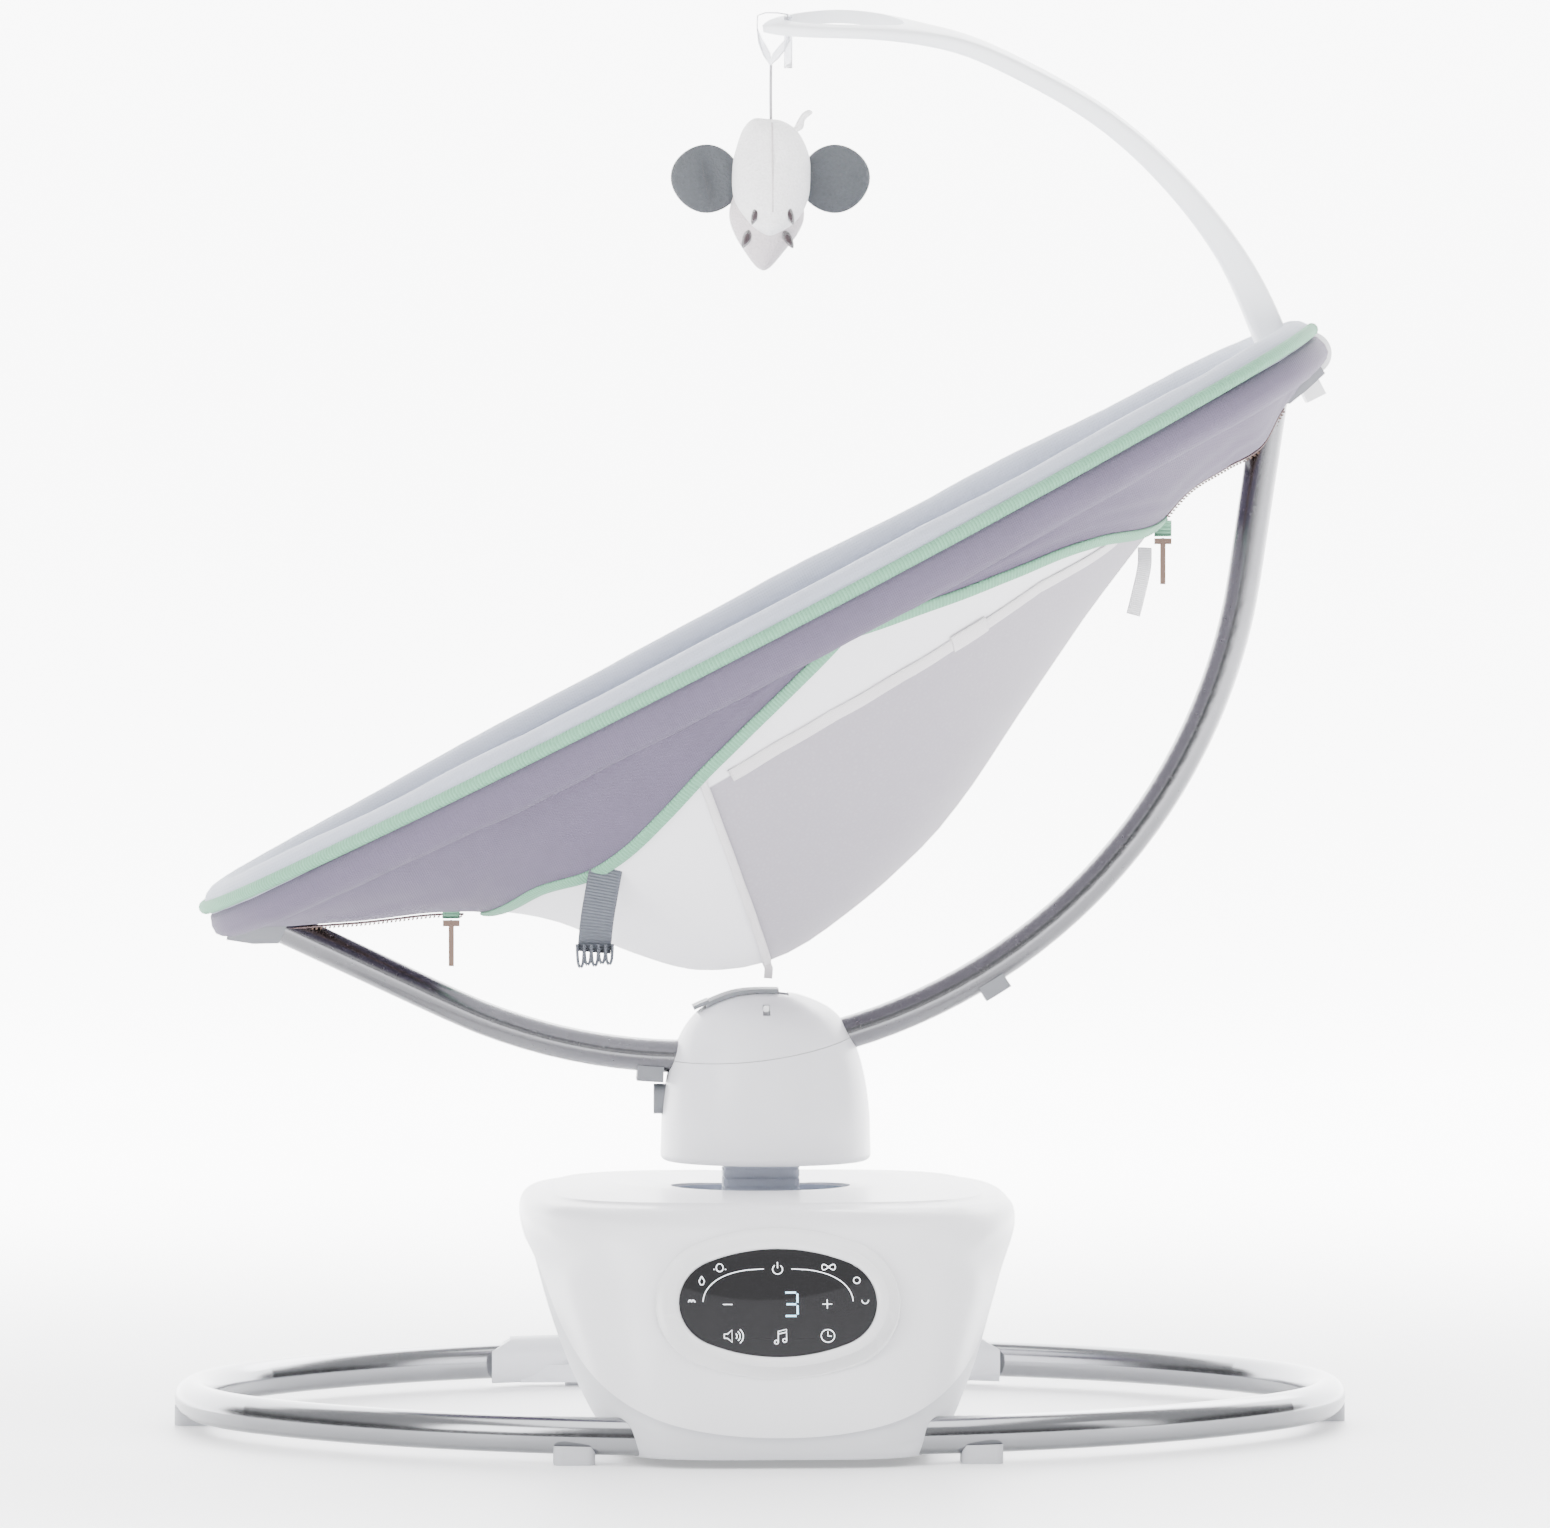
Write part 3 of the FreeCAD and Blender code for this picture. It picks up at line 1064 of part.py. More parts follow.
def make_soft_seat():
    tube = dim("hoop_dia") / 2
    cloth = dim("cloth")
    shell = solid_feature("hammock_shell", hammock_shell(HAMMOCK, -2, 0, cloth, tube + 3.2))
    node(shell, "hammock", SEAT)
    lined = [(station, depth) for station, depth in HAMMOCK if abs(station) < 300]
    pad_gap = tube + 3.2 + cloth + 1.4
    pad_shell = hammock_shell(lined, -1.5, cloth + 1.2, dim("pad_thickness"), pad_gap)
    node(solid_feature("pad_shell", pad_shell), "seat_pad", SEAT)

    outer_head, outer_foot = hoop_pipe("cover_outside", "hoop_dia + 5.2", "")
    inner_head, inner_foot = hoop_pipe("cover_inside", "hoop_dia + 0.8", "")
    sleeve = cut("seat_cover", fuse("cover_outside", outer_head, outer_foot),
                 fuse("cover_inside", inner_head, inner_foot))
    foot_room = block("cover_foot_room", (-400, -15.6, -30), (-340, 15.6, 30))
    head_room = block("cover_head_room", (340, -24.6, -30), (400, 24.6, 30))
    node(cut("seat_cover_gaps", sleeve, foot_room, head_room), "seat_cover", SEAT)


def make_harness():
    """Webbing inside the seat, its buckle, and the two loose ends under the seat."""
    depth = dict(HAMMOCK)[-60]
    strap_level = dim("cloth") + dim("pad_thickness") + 3.6 - depth
    crotch = block("crotch_raw", (-104, -19, strap_level + 4), (-46, 19, strap_level + 6.4))
    waist = block("waist_raw", (-42, -44, strap_level + 8), (-10, 44, strap_level + 10.4))
    buckle = new_body("harness_buckle")
    sketch = sketch_in(buckle, "XY_Plane", strap_level + 12)
    add_rounded_box(sketch, 24, 20, 8)
    pad(buckle, sketch, 14)
    for strap in (crotch, waist):
        strap.Placement = SEAT.multiply(strap.Placement)
    node(buckle, "harness_buckle", SEAT.multiply(Placement(Vector(-26, 0, 0), Rotation())))
    tail = block("tail_web", (-112, -135.6, 292), (-93, -134.0, 336))
    fold = block("tail_fold", (-114, -139, 284), (-93, -133.4, 292))
    node(group("harness_straps", crotch, waist, fuse("harness_tail", tail, fold)), "harness_straps")
    node(block("head_tie_raw", (221, -32, 486), (229.5, -31, 510)), "head_tie")
    sliders = []
    for label, x, z in (("foot_zip", -186, 304.2), ("head_zip", 240, 532.2)):
        slider = block(label + "_slider_raw", (x - 5, ZIP_Y - 2.5, z - 4), (x + 5, ZIP_Y + 2.5, z - 0.5))
        hole = rod(label + "_slider_hole", (x, ZIP_Y - 6, z - 2.2), (x, ZIP_Y + 6, z - 2.2), 1.2)
        room = block(label + "_slider_room", (x - 4.0, ZIP_Y - 1.0, z - 7), (x + 4.0, ZIP_Y + 1.0, z - 0.2))
        sliders.append(cut(label + "_slider", slider, room, hole))
        eye = rod(label + "_pull_eye", (x, ZIP_Y - 0.7, z - 2.2), (x, ZIP_Y + 0.7, z - 2.2), 2.0)
        tab = block(label + "_pull_tab", (x - 1.6, ZIP_Y - 0.7, z - 28), (x + 1.6, ZIP_Y + 0.7, z - 3))
        pin = rod(label + "_pull_pin", (x, ZIP_Y - 2.5, z - 2.2), (x, ZIP_Y + 2.5, z - 2.2), 1.15)
        node(fuse(label + "_pull", eye, tab, pin), label + "_pull")
    node(group("zip_sliders", *sliders), "zip_sliders")


ZIP_Y = -25.0


# ---------------------------------------------------------------- document, checks and files

def make_all():
    make_ring()
    seats = solid_feature("ring_seats", ring_clearance(0.15))
    make_rear_sleeve(seats)
    make_ring_feet(seats)
    make_housing(seats)
    make_panel()
    make_drive()
    make_neck()
    make_hub()
    make_arc_tube()
    make_end_stops()
    make_hoop()
    hoop = hoop_cutter("hoop_seat", "hoop_dia + 0.1")
    make_brackets(hoop)
    make_toy_bar(hoop)
    make_toy()
    make_soft_seat()
    make_harness()
    DOC.recompute()


def check_document():
    for obj in DOC.Objects:
        if {"Invalid", "Error"} & set(obj.State):
            raise RuntimeError(f"{obj.Label}: {obj.State}")
    labels = [obj.Label for obj in NODES]
    if len(set(labels)) != len(labels):
        raise RuntimeError("two sub-parts share a name")
    for obj in NODES:
        if obj.Shape.isNull() or not obj.Shape.isValid() or not obj.Shape.Solids:
            raise RuntimeError(f"{obj.Label}: bad shape")


def write_parts():
    os.makedirs("parts", exist_ok=True)
    for obj in NODES:
        obj.Shape.exportStep(f"parts/{obj.Label}.step")


make_all()
check_document()
write_parts()
print(len(NODES), "sub-parts written")
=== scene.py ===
"""Baby swing: the visual model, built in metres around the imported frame."""

import json
import math

import bpy
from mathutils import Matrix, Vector, noise


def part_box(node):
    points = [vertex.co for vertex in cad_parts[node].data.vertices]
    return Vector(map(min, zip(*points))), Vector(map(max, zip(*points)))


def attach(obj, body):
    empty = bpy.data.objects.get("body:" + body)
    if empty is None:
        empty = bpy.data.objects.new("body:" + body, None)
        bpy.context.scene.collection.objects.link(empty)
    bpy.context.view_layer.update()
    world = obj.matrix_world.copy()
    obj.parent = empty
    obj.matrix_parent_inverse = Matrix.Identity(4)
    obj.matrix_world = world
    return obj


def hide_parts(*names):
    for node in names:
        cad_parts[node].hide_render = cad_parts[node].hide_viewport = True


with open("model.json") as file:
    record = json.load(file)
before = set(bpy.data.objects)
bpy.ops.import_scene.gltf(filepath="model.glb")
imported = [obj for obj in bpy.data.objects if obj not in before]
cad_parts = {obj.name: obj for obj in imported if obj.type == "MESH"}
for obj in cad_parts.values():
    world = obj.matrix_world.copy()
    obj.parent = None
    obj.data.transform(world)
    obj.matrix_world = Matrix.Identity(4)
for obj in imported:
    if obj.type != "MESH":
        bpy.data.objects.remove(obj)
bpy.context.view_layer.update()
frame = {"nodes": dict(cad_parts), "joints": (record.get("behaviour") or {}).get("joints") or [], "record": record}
JOINTS = {joint["name"]: joint for joint in frame["joints"]}

# ------------ the seat's own frame

TUBE = 0.008                # radius of the hoop tube
HEAD = Vector(JOINTS["toy_bar_fold"]["pos_m"])
FOOT_LOW, FOOT_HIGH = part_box("foot_frame_tube")
FOOT = Vector((FOOT_LOW.x + TUBE, 0.0, FOOT_LOW.z + TUBE))
CENTRE = (HEAD + FOOT) / 2
HALF = (HEAD - FOOT).length / 2
ALONG = (HEAD - FOOT).normalized()
ACROSS = Vector((0.0, 1.0, 0.0))
FRONT = Vector((0.0, -1.0, 0.0))
UP = Vector((-ALONG.z, 0.0, ALONG.x))
WIDTH = FOOT_HIGH.y - TUBE  # half width of the hoop's centreline
HEAD_RADIUS = 0.150
FOOT_RADIUS = 0.115


def around(step, steps):
    """Angle of a step round a full circle."""
    return 2 * math.pi * step / steps


def seat_point(s, y, n):
    """Point given along the seat, across it and square to its plane."""
    return CENTRE + ALONG * s + ACROSS * y + UP * n


class Egg:
    """Four tangent arcs that make the hoop's outline."""

    def __init__(self):
        self.head, self.foot = HALF - HEAD_RADIUS, HALF - FOOT_RADIUS
        a, b = WIDTH - HEAD_RADIUS, WIDTH - FOOT_RADIUS
        square, linear = b - a, -2 * (b * self.head + a * self.foot)
        constant = b * self.head ** 2 - a * self.foot ** 2 - a * a * b + a * b * b
        self.mid = (-linear - math.sqrt(linear ** 2 - 4 * square * constant)) / (2 * square)
        self.drop = ((self.head - self.mid) ** 2 - a * a) / (2 * a)
        self.side = WIDTH + self.drop
        self.head_from = self.head + HEAD_RADIUS * (self.head - self.mid) / (self.side - HEAD_RADIUS)
        self.foot_to = -self.foot - FOOT_RADIUS * (self.foot + self.mid) / (self.side - FOOT_RADIUS)

    def width(self, s):
        if s > self.head_from:
            return math.sqrt(max(HEAD_RADIUS ** 2 - (s - self.head) ** 2, 0.0))
        if s < self.foot_to:
            return math.sqrt(max(FOOT_RADIUS ** 2 - (s + self.foot) ** 2, 0.0))
        return math.sqrt(self.side ** 2 - (s - self.mid) ** 2) - self.drop


EGG = Egg()
# distance along the seat, depth of the cloth under the hoop
SAG = [(-0.366, 0.0), (-0.352, 0.010), (-0.306, 0.031), (-0.245, 0.056), (-0.194, 0.090), (-0.160, 0.130),
       (-0.130, 0.158), (-0.085, 0.172), (-0.021, 0.166), (0.044, 0.145), (0.110, 0.111), (0.175, 0.076),
       (0.230, 0.050), (0.262, 0.037), (0.290, 0.034), (0.312, 0.033), (0.331, 0.021), (0.350, 0.012),
       (0.366, 0.0)]
FOLD = 2.4                  # power of the cloth's section across the seat
NORMAL_STEP = 0.002         # reach of the steps that find a surface normal
CLOTH_THICK = 0.0012
SIDES = ((-1, "near"), (1, "far"))
CROSS_AT, CROSS_LEAN = -0.0725, 0.114     # seam round the hammock: s = at + lean x n
TAPE_AT, TAPE_LEAN = -0.0509, 0.055       # tape along its side: n = at + lean x s


def hermite(share, v1, m1, v2, m2):
    """Cubic between two values with a slope at each."""
    a, b = share ** 2, share ** 3
    return (2 * b - 3 * a + 1) * v1 + (b - 2 * a + share) * m1 + (3 * a - 2 * b) * v2 + (b - a) * m2


def spline_value(points, x):
    """Catmull-Rom value of a list of (x, value) points."""
    x = min(max(x, points[0][0]), points[-1][0])
    index = max(i for i in range(len(points) - 1) if points[i][0] <= x)
    (x1, v1), (x2, v2) = points[index], points[index + 1]
    x0, v0 = points[max(index - 1, 0)]
    x3, v3 = points[min(index + 2, len(points) - 1)]
    share = (x - x1) / (x2 - x1)
    m1 = (v2 - v0) / (x2 - x0) * (x2 - x1)
    m2 = (v3 - v1) / (x3 - x1) * (x2 - x1)
    return hermite(share, v1, m1, v2, m2)


def uneven(x, y, z, height):
    """Smooth unevenness up to a height, from fixed noise."""
    return height * noise.noise(Vector((x, y, z)))


def cloth_point(s, t, lift=0.0):
    """Point of the hammock at s along and t = -1..1 across, lifted outwards."""
    depth = spline_value(SAG, s)
    y = t * EGG.width(s)
    n = -depth * (1 - abs(t) ** FOLD)
    ripple = uneven(s * 11, y * 9, 3.1, 0.0022) + uneven(s * 34, y * 12, 7.7, 0.0007)
    edge = (1 - abs(t) ** 6) * min(1.0, depth / 0.03)
    point = seat_point(s, y, n - ripple * edge)
    if lift:
        ds = cloth_shape(s + NORMAL_STEP, t) - cloth_shape(s - NORMAL_STEP, t)
        dt = cloth_shape(s, t + NORMAL_STEP) - cloth_shape(s, t - NORMAL_STEP)
        normal = ds.cross(dt)
        if normal.dot(UP) > 0:
            normal = -normal
        if normal.length > 0:
            point += normal.normalized() * lift
    return point


def cloth_shape(s, t):
    """Point of the hammock without its ripples."""
    s = min(max(s, -HALF + 1e-5), HALF - 1e-5)
    return seat_point(s, t * EGG.width(s), -spline_value(SAG, s) * (1 - min(abs(t), 1.0) ** FOLD))


# ------------ panel frame

PANEL_TILT = math.radians(65)
PANEL_RIGHT = Vector((1, 0, 0))
PANEL_UP = Vector((0, math.cos(PANEL_TILT), math.sin(PANEL_TILT)))
PANEL_OUT = Vector((0, -math.sin(PANEL_TILT), math.cos(PANEL_TILT)))
LENS_LOW, LENS_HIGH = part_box("panel_lens")
LENS_HALF = Vector((0.057, 0.033))
LENS_ENDS = 0.0268
LENS_MIDDLE = (LENS_LOW + LENS_HIGH) / 2
LENS_FACE = LENS_MIDDLE + PANEL_OUT * 0.00125


# ------------ materials

EDGE_GAIN = 900.0           # turns a distance in metres into a sharp edge between two colours


class Paint:
    """One procedural material: a Principled shader with textures in object space."""

    def __init__(self, name, colour, coordinates="Object", **sockets):
        self.material = bpy.data.materials.new(name)
        self.material.use_nodes = True
        tree = self.material.node_tree
        self.nodes, self.links = tree.nodes, tree.links
        self.shader = self.nodes["Principled BSDF"]
        self.colour = colour
        self.where = self.nodes.new("ShaderNodeTexCoord").outputs[coordinates]
        for socket, value in sockets.items():
            self.shader.inputs[socket.replace("_", " ")].default_value = value

    def stretched(self, scale, turn=(0, 0, 0)):
        mapping = self.nodes.new("ShaderNodeMapping")
        mapping.inputs["Scale"].default_value = scale
        mapping.inputs["Rotation"].default_value = turn
        self.links.new(self.where, mapping.inputs["Vector"])
        return mapping.outputs["Vector"]

    def noise(self, scale, detail=2.0, stretch=(1, 1, 1)):
        texture = self.nodes.new("ShaderNodeTexNoise")
        texture.inputs["Scale"].default_value = scale
        texture.inputs["Detail"].default_value = detail
        self.links.new(self.stretched(stretch), texture.inputs["Vector"])
        return texture.outputs["Fac"]

    def wave(self, period, direction="X", turn=(0, 0, 0), distortion=0.0):
        """Bands a period apart, in metres."""
        texture = self.nodes.new("ShaderNodeTexWave")
        texture.bands_direction = direction
        texture.inputs["Scale"].default_value = 2 * math.pi / 20 / period
        texture.inputs["Distortion"].default_value = distortion
        self.links.new(self.stretched((1, 1, 1), turn), texture.inputs["Vector"])
        return texture.outputs["Fac"]

    def cells(self, scale):
        texture = self.nodes.new("ShaderNodeTexVoronoi")
        texture.feature = "DISTANCE_TO_EDGE"
        texture.inputs["Scale"].default_value = scale
        self.links.new(self.where, texture.inputs["Vector"])
        return texture.outputs["Distance"]

    def math(self, operation, first, second):
        node = self.nodes.new("ShaderNodeMath")
        node.operation = operation
        for socket, value in zip(node.inputs, (first, second)):
            if isinstance(value, (int, float)):
                socket.default_value = value
            else:
                self.links.new(value, socket)
        return node.outputs[0]

    def mixed(self, first, share, second, other_share):
        """Two factors added, each times its share."""
        second = self.math("MULTIPLY", second, other_share)
        return self.math("ADD", self.math("MULTIPLY", first, share), second)

    def clamped(self, value):
        node = self.nodes.new("ShaderNodeClamp")
        self.links.new(value, node.inputs["Value"])
        return node.outputs[0]

    def colours(self, factor, first, second, low=0.0, high=1.0):
        """Base colour that runs from the first to the second between two levels of a factor."""
        ramp = self.nodes.new("ShaderNodeValToRGB")
        for element, position, colour in zip(ramp.color_ramp.elements, (low, high), (first, second)):
            element.position = position
            element.color = (*colour, 1.0)
        self.links.new(factor, ramp.inputs["Fac"])
        self.links.new(ramp.outputs["Color"], self.shader.inputs["Base Color"])

    def tint(self, factor, low, high):
        """Colour that runs from low to high times the base colour."""
        ends = [[min(channel * gain, 1.0) for channel in self.colour] for gain in (low, high)]
        self.colours(factor, *ends, 0.25, 0.75)

    def ranged(self, socket, factor, low, high, near=0.0, far=1.0, kind="LINEAR"):
        """Shader input that runs from low to high while a factor runs from near to far."""
        span = self.nodes.new("ShaderNodeMapRange")
        span.interpolation_type = kind
        for end, value in (("From Min", near), ("From Max", far), ("To Min", low), ("To Max", high)):
            span.inputs[end].default_value = value
        self.links.new(factor, span.inputs["Value"])
        self.links.new(span.outputs["Result"], self.shader.inputs[socket])

    def worn(self, factor, low, high):
        """Roughness that runs from low to high with a factor."""
        self.ranged("Roughness", factor, low, high)

    def glow_with_painted_shadow(self, near, far, low, high):
        """Glow that rises from near to far with the distance from the origin; the dimmer glow near the origin is a
        painted shadow.
        """
        reach = self.nodes.new("ShaderNodeVectorMath")
        reach.operation = "LENGTH"
        self.links.new(self.where, reach.inputs[0])
        self.ranged("Emission Strength", reach.outputs["Value"], low, high, near, far, "SMOOTHSTEP")

    def bump(self, height, strength, distance):
        node = self.nodes.new("ShaderNodeBump")
        node.inputs["Strength"].default_value = strength
        node.inputs["Distance"].default_value = distance
        self.links.new(height, node.inputs["Height"])
        self.links.new(node.outputs["Normal"], self.shader.inputs["Normal"])


def linear(red, green, blue):
    """Linear colour from 0-255 display values."""
    return tuple(((value / 255 + 0.055) / 1.055) ** 2.4 for value in (red, green, blue))


def moulded(name, colour, rough, grain=0.12, coat=0.0):
    paint = Paint(name, colour, Coat_Weight=coat, Coat_Roughness=0.15)
    paint.tint(paint.noise(9, 3), 0.965, 1.02)
    paint.worn(paint.noise(60, 4), rough - 0.05, rough + 0.06)
    paint.bump(paint.noise(1800, 3), grain, 0.0002)
    return paint.material


def metal(name, colour, rough, stretch=(1, 1, 1), grain=0.015):
    paint = Paint(name, colour, Metallic=1.0)
    streaks = paint.noise(400, 3, stretch)
    paint.tint(paint.noise(14, 2), 0.95, 1.03)
    paint.worn(streaks, rough - 0.02, rough + 0.03)
    paint.bump(streaks, grain, 0.0002)
    return paint.material


def woven(name, colour, pitch, rough=0.85, strength=0.45, sheen=0.35):
    """Plain weave whose threads follow the seat."""
    paint = Paint(name, colour, Sheen_Weight=sheen, Sheen_Roughness=0.5)
    slope = (0, math.atan2(ALONG.z, ALONG.x), 0)
    warp = paint.wave(pitch, "X", slope, 0.4)
    weft = paint.math("ADD", paint.wave(pitch, "Y", slope, 0.4), paint.wave(pitch, "Z", slope, 0.4))
    threads = paint.math("MULTIPLY", paint.math("ADD", warp, weft), 0.5)
    mottle = paint.noise(24, 4)
    paint.tint(paint.mixed(mottle, 0.7, threads, 0.2), 0.90, 1.05)
    paint.worn(mottle, rough - 0.06, min(rough + 0.08, 1.0))
    paint.bump(threads, strength, 0.0004)
    return paint.material


def hammock_knit(name, shade, light):
    """Open knit of the hammock: light cloth, with a greyer panel behind the cross seam and under the tape."""
    paint = Paint(name, shade, Sheen_Weight=0.25, Sheen_Roughness=0.5)

    def along(direction):
        node = paint.nodes.new("ShaderNodeVectorMath")
        node.operation = "DOT_PRODUCT"
        paint.links.new(paint.where, node.inputs[0])
        node.inputs[1].default_value = direction
        return paint.math("SUBTRACT", node.outputs["Value"], CENTRE.dot(direction))

    s, n = along(ALONG), along(UP)
    behind = paint.math("SUBTRACT", s, paint.math("ADD", paint.math("MULTIPLY", n, CROSS_LEAN), CROSS_AT))
    below = paint.math("SUBTRACT", paint.math("ADD", paint.math("MULTIPLY", s, TAPE_LEAN), TAPE_AT), n)
    zone = paint.math("MULTIPLY", paint.math("MINIMUM", behind, below), EDGE_GAIN)
    holes = paint.cells(330)
    mottle = paint.mixed(holes, 0.12, paint.noise(16, 3), 0.03)
    paint.colours(paint.math("SUBTRACT", paint.clamped(zone), mottle), light, shade)
    paint.worn(paint.noise(80, 2), 0.72, 0.9)
    paint.bump(holes, 0.35, 0.0006)
    return paint.material


def ribbed(name, colour, pitch=0.0022, rough=0.75):
    """Binding with ribs across its length, which runs along U."""
    paint = Paint(name, colour, "UV", Sheen_Weight=0.1, Sheen_Roughness=0.4)
    ribs = paint.wave(pitch, "X")
    paint.tint(paint.mixed(ribs, 0.55, paint.noise(40, 3), 0.4), 0.88, 1.05)
    paint.worn(paint.noise(90, 2), rough - 0.08, rough + 0.1)
    paint.bump(ribs, 0.7, 0.0006)
    return paint.material


def plush(name, colour, pile=700):
    paint = Paint(name, colour, Sheen_Weight=0.8, Sheen_Roughness=0.35)
    fibres = paint.noise(pile, 5)
    paint.tint(paint.mixed(fibres, 0.7, paint.noise(30, 3), 0.3), 0.80, 1.08)
    paint.worn(fibres, 0.85, 1.0)
    paint.bump(fibres, 0.8, 0.0012)
    return paint.material


def glowing(name, colour, strength):
    paint = Paint(name, colour, Emission_Color=(*colour, 1.0), Emission_Strength=strength)
    paint.tint(paint.noise(300, 2), 0.95, 1.05)
    paint.worn(paint.noise(200, 2), 0.35, 0.45)
    return paint.material


def lens_with_painted_reflection(name, dark, light):
    """Dark glass whose lower part is a little lighter, under a slanting edge: a painted reflection."""
    paint = Paint(name, dark, Coat_Weight=0.5, Coat_Roughness=0.05)
    split = paint.nodes.new("ShaderNodeSeparateXYZ")
    paint.links.new(paint.where, split.inputs[0])
    bow = paint.math("MULTIPLY", paint.math("POWER", paint.math("ADD", split.outputs["X"], 0.008), 2.0), 3.5)
    rise = paint.math("DIVIDE", paint.math("SUBTRACT", split.outputs["Z"], LENS_MIDDLE.z), PANEL_UP.z)
    # painted reflection: the glass is lighter below a bowed edge, fading upwards
    below = paint.math("MULTIPLY", paint.math("SUBTRACT", paint.math("ADD", bow, 0.0028), rise), EDGE_GAIN)
    reflection_fade = paint.math("ADD", paint.math("MULTIPLY", rise, -6.0), 0.55)
    paint.colours(paint.math("MULTIPLY", paint.clamped(below), reflection_fade), dark, light)
    paint.worn(paint.noise(120, 3), 0.08, 0.14)
    return paint.material


def clear(name, colour):
    paint = Paint(name, colour, Transmission_Weight=0.55, IOR=1.45)
    paint.tint(paint.noise(80, 2), 0.95, 1.0)
    paint.worn(paint.noise(240, 2), 0.15, 0.3)
    paint.bump(paint.noise(500, 2), 0.1, 0.0003)
    return paint.material


LAVENDER = woven("lavender_cloth", linear(90, 82, 102), 0.0013, sheen=0.08)
LINER = woven("liner_cloth", linear(168, 173, 188), 0.0017, strength=0.6)
HAMMOCK_CLOTH = hammock_knit("hammock_mesh", linear(148, 143, 153), linear(230, 229, 233))
SEAM_CLOTH = woven("seam_tape", linear(214, 210, 213), 0.0010)
MINT = ribbed("mint_binding", linear(106, 158, 129))
TAPE = ribbed("zip_tape", linear(120, 100, 100), 0.0016)
WEB = ribbed("grey_webbing", linear(92, 96, 105), 0.0018)
WHITE_TAPE = ribbed("white_tape", linear(238, 238, 240), 0.0012)
PLUSH_WHITE = plush("white_plush", linear(248, 245, 246))
PLUSH_SHADE = plush("shaded_plush", linear(206, 197, 200))
PLUSH_GREY = plush("grey_plush", linear(70, 73, 77), 520)
EYE = plush("eye_stitching", linear(62, 50, 54), 1400)
THREAD = ribbed("thread", linear(205, 203, 208), 0.0011)

SLOT_PAINT = {
    "ring_metal": metal("polished_ring", linear(150, 151, 154), 0.18, (1, 1, 0.2)),
    "arc_metal": metal("polished_arc", linear(116, 116, 119), 0.26),
    "hoop_metal": metal("satin_hoop", linear(165, 167, 171), 0.32),
    "shell_plastic": moulded("shell_white", linear(244, 244, 247), 0.34, 0.08, 0.25),
    # skirt: white plastic given a darker colour as painted shade on the sides
    "skirt_plastic": moulded("skirt_white_painted_shade", linear(216, 217, 221), 0.42),
    "dome_plastic": moulded("dome_white", linear(230, 230, 234), 0.33, 0.08, 0.2),
    "lever_plastic": moulded("lever_grey", linear(112, 115, 120), 0.45),
    "neck_plastic": moulded("neck_blue_grey", linear(200, 206, 220), 0.4),
    "bezel_plastic": moulded("bezel_white", linear(236, 236, 238), 0.25, 0.05, 0.4),
    # lens: dark glass with a painted reflection in its lower part
    "lens": lens_with_painted_reflection("lens_dark", linear(18, 18, 20), linear(46, 46, 48)),
    "bar_plastic": moulded("bar_white", linear(240, 242, 245), 0.38),
    "clip_plastic": moulded("clip_white", linear(242, 242, 243), 0.36),
    "bracket_plastic": moulded("bracket_grey", linear(128, 130, 135), 0.42),
    "rubber": moulded("pale_rubber", linear(196, 197, 201), 0.7, 0.3),
    "inner_plastic": moulded("inner_grey", linear(120, 122, 127), 0.5),
    "board": moulded("board_green", linear(34, 84, 52), 0.5),
    "motor_metal": metal("motor_can", linear(120, 122, 126), 0.4),
    "steel": metal("ground_steel", linear(190, 190, 192), 0.3),
    "brass": metal("turned_brass", linear(205, 176, 110), 0.3),
    "zip_metal": metal("zip_metal", linear(105, 88, 80), 0.35),
    "hammock_fabric": HAMMOCK_CLOTH,
    "pad_fabric": LINER,
    "trim_fabric": MINT,
    "webbing": WEB,
    "tie_fabric": WHITE_TAPE,
    "buckle_plastic": moulded("buckle_grey", linear(120, 122, 128), 0.45),
    "clear_strap": clear("clear_strap", linear(240, 241, 246)),
    "ribbon": THREAD,
    "plush": PLUSH_WHITE,
    "plush_ear": PLUSH_GREY,
}


def paint_cad_nodes():
    """Every carried-over CAD node takes the material of its record slot."""
    slots = {row["node"]: row["material_slot"] for row in frame["record"]["subparts"]}
    for name, obj in frame["nodes"].items():
        obj.data.materials.clear()
        obj.data.materials.append(SLOT_PAINT[slots[name]])


# ------------ mesh helpers

def placed(name, data):
    """New object in the scene."""
    obj = bpy.data.objects.new(name, data)
    bpy.context.scene.collection.objects.link(obj)
    return obj


def mesh_piece(name, points, faces, material, body, smooth=True, levels=0, uvs=None):
    """New mesh object in the row frame that rides on a body."""
    mesh = bpy.data.meshes.new(name)
    mesh.from_pydata([tuple(point) for point in points], [], faces)
    mesh.materials.append(material)
    mesh.polygons.foreach_set("use_smooth", [smooth] * len(mesh.polygons))
    if uvs is not None:
        layer = mesh.uv_layers.new(name="UVMap")
        for loop in mesh.loops:
            layer.data[loop.index].uv = uvs[loop.vertex_index]
    mesh.validate()
    mesh.update()
    piece = placed(name, mesh)
    if levels:
        modifier = piece.modifiers.new("smooth", "SUBSURF")
        modifier.levels = levels
        modifier.render_levels = levels
    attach(piece, body)
    return piece


def new_curve(name, radius, resolution, material):
    curve = bpy.data.curves.new(name, "CURVE")
    curve.dimensions = "3D"
    curve.bevel_depth = radius
    curve.bevel_resolution = resolution
    curve.materials.append(material)
    return curve


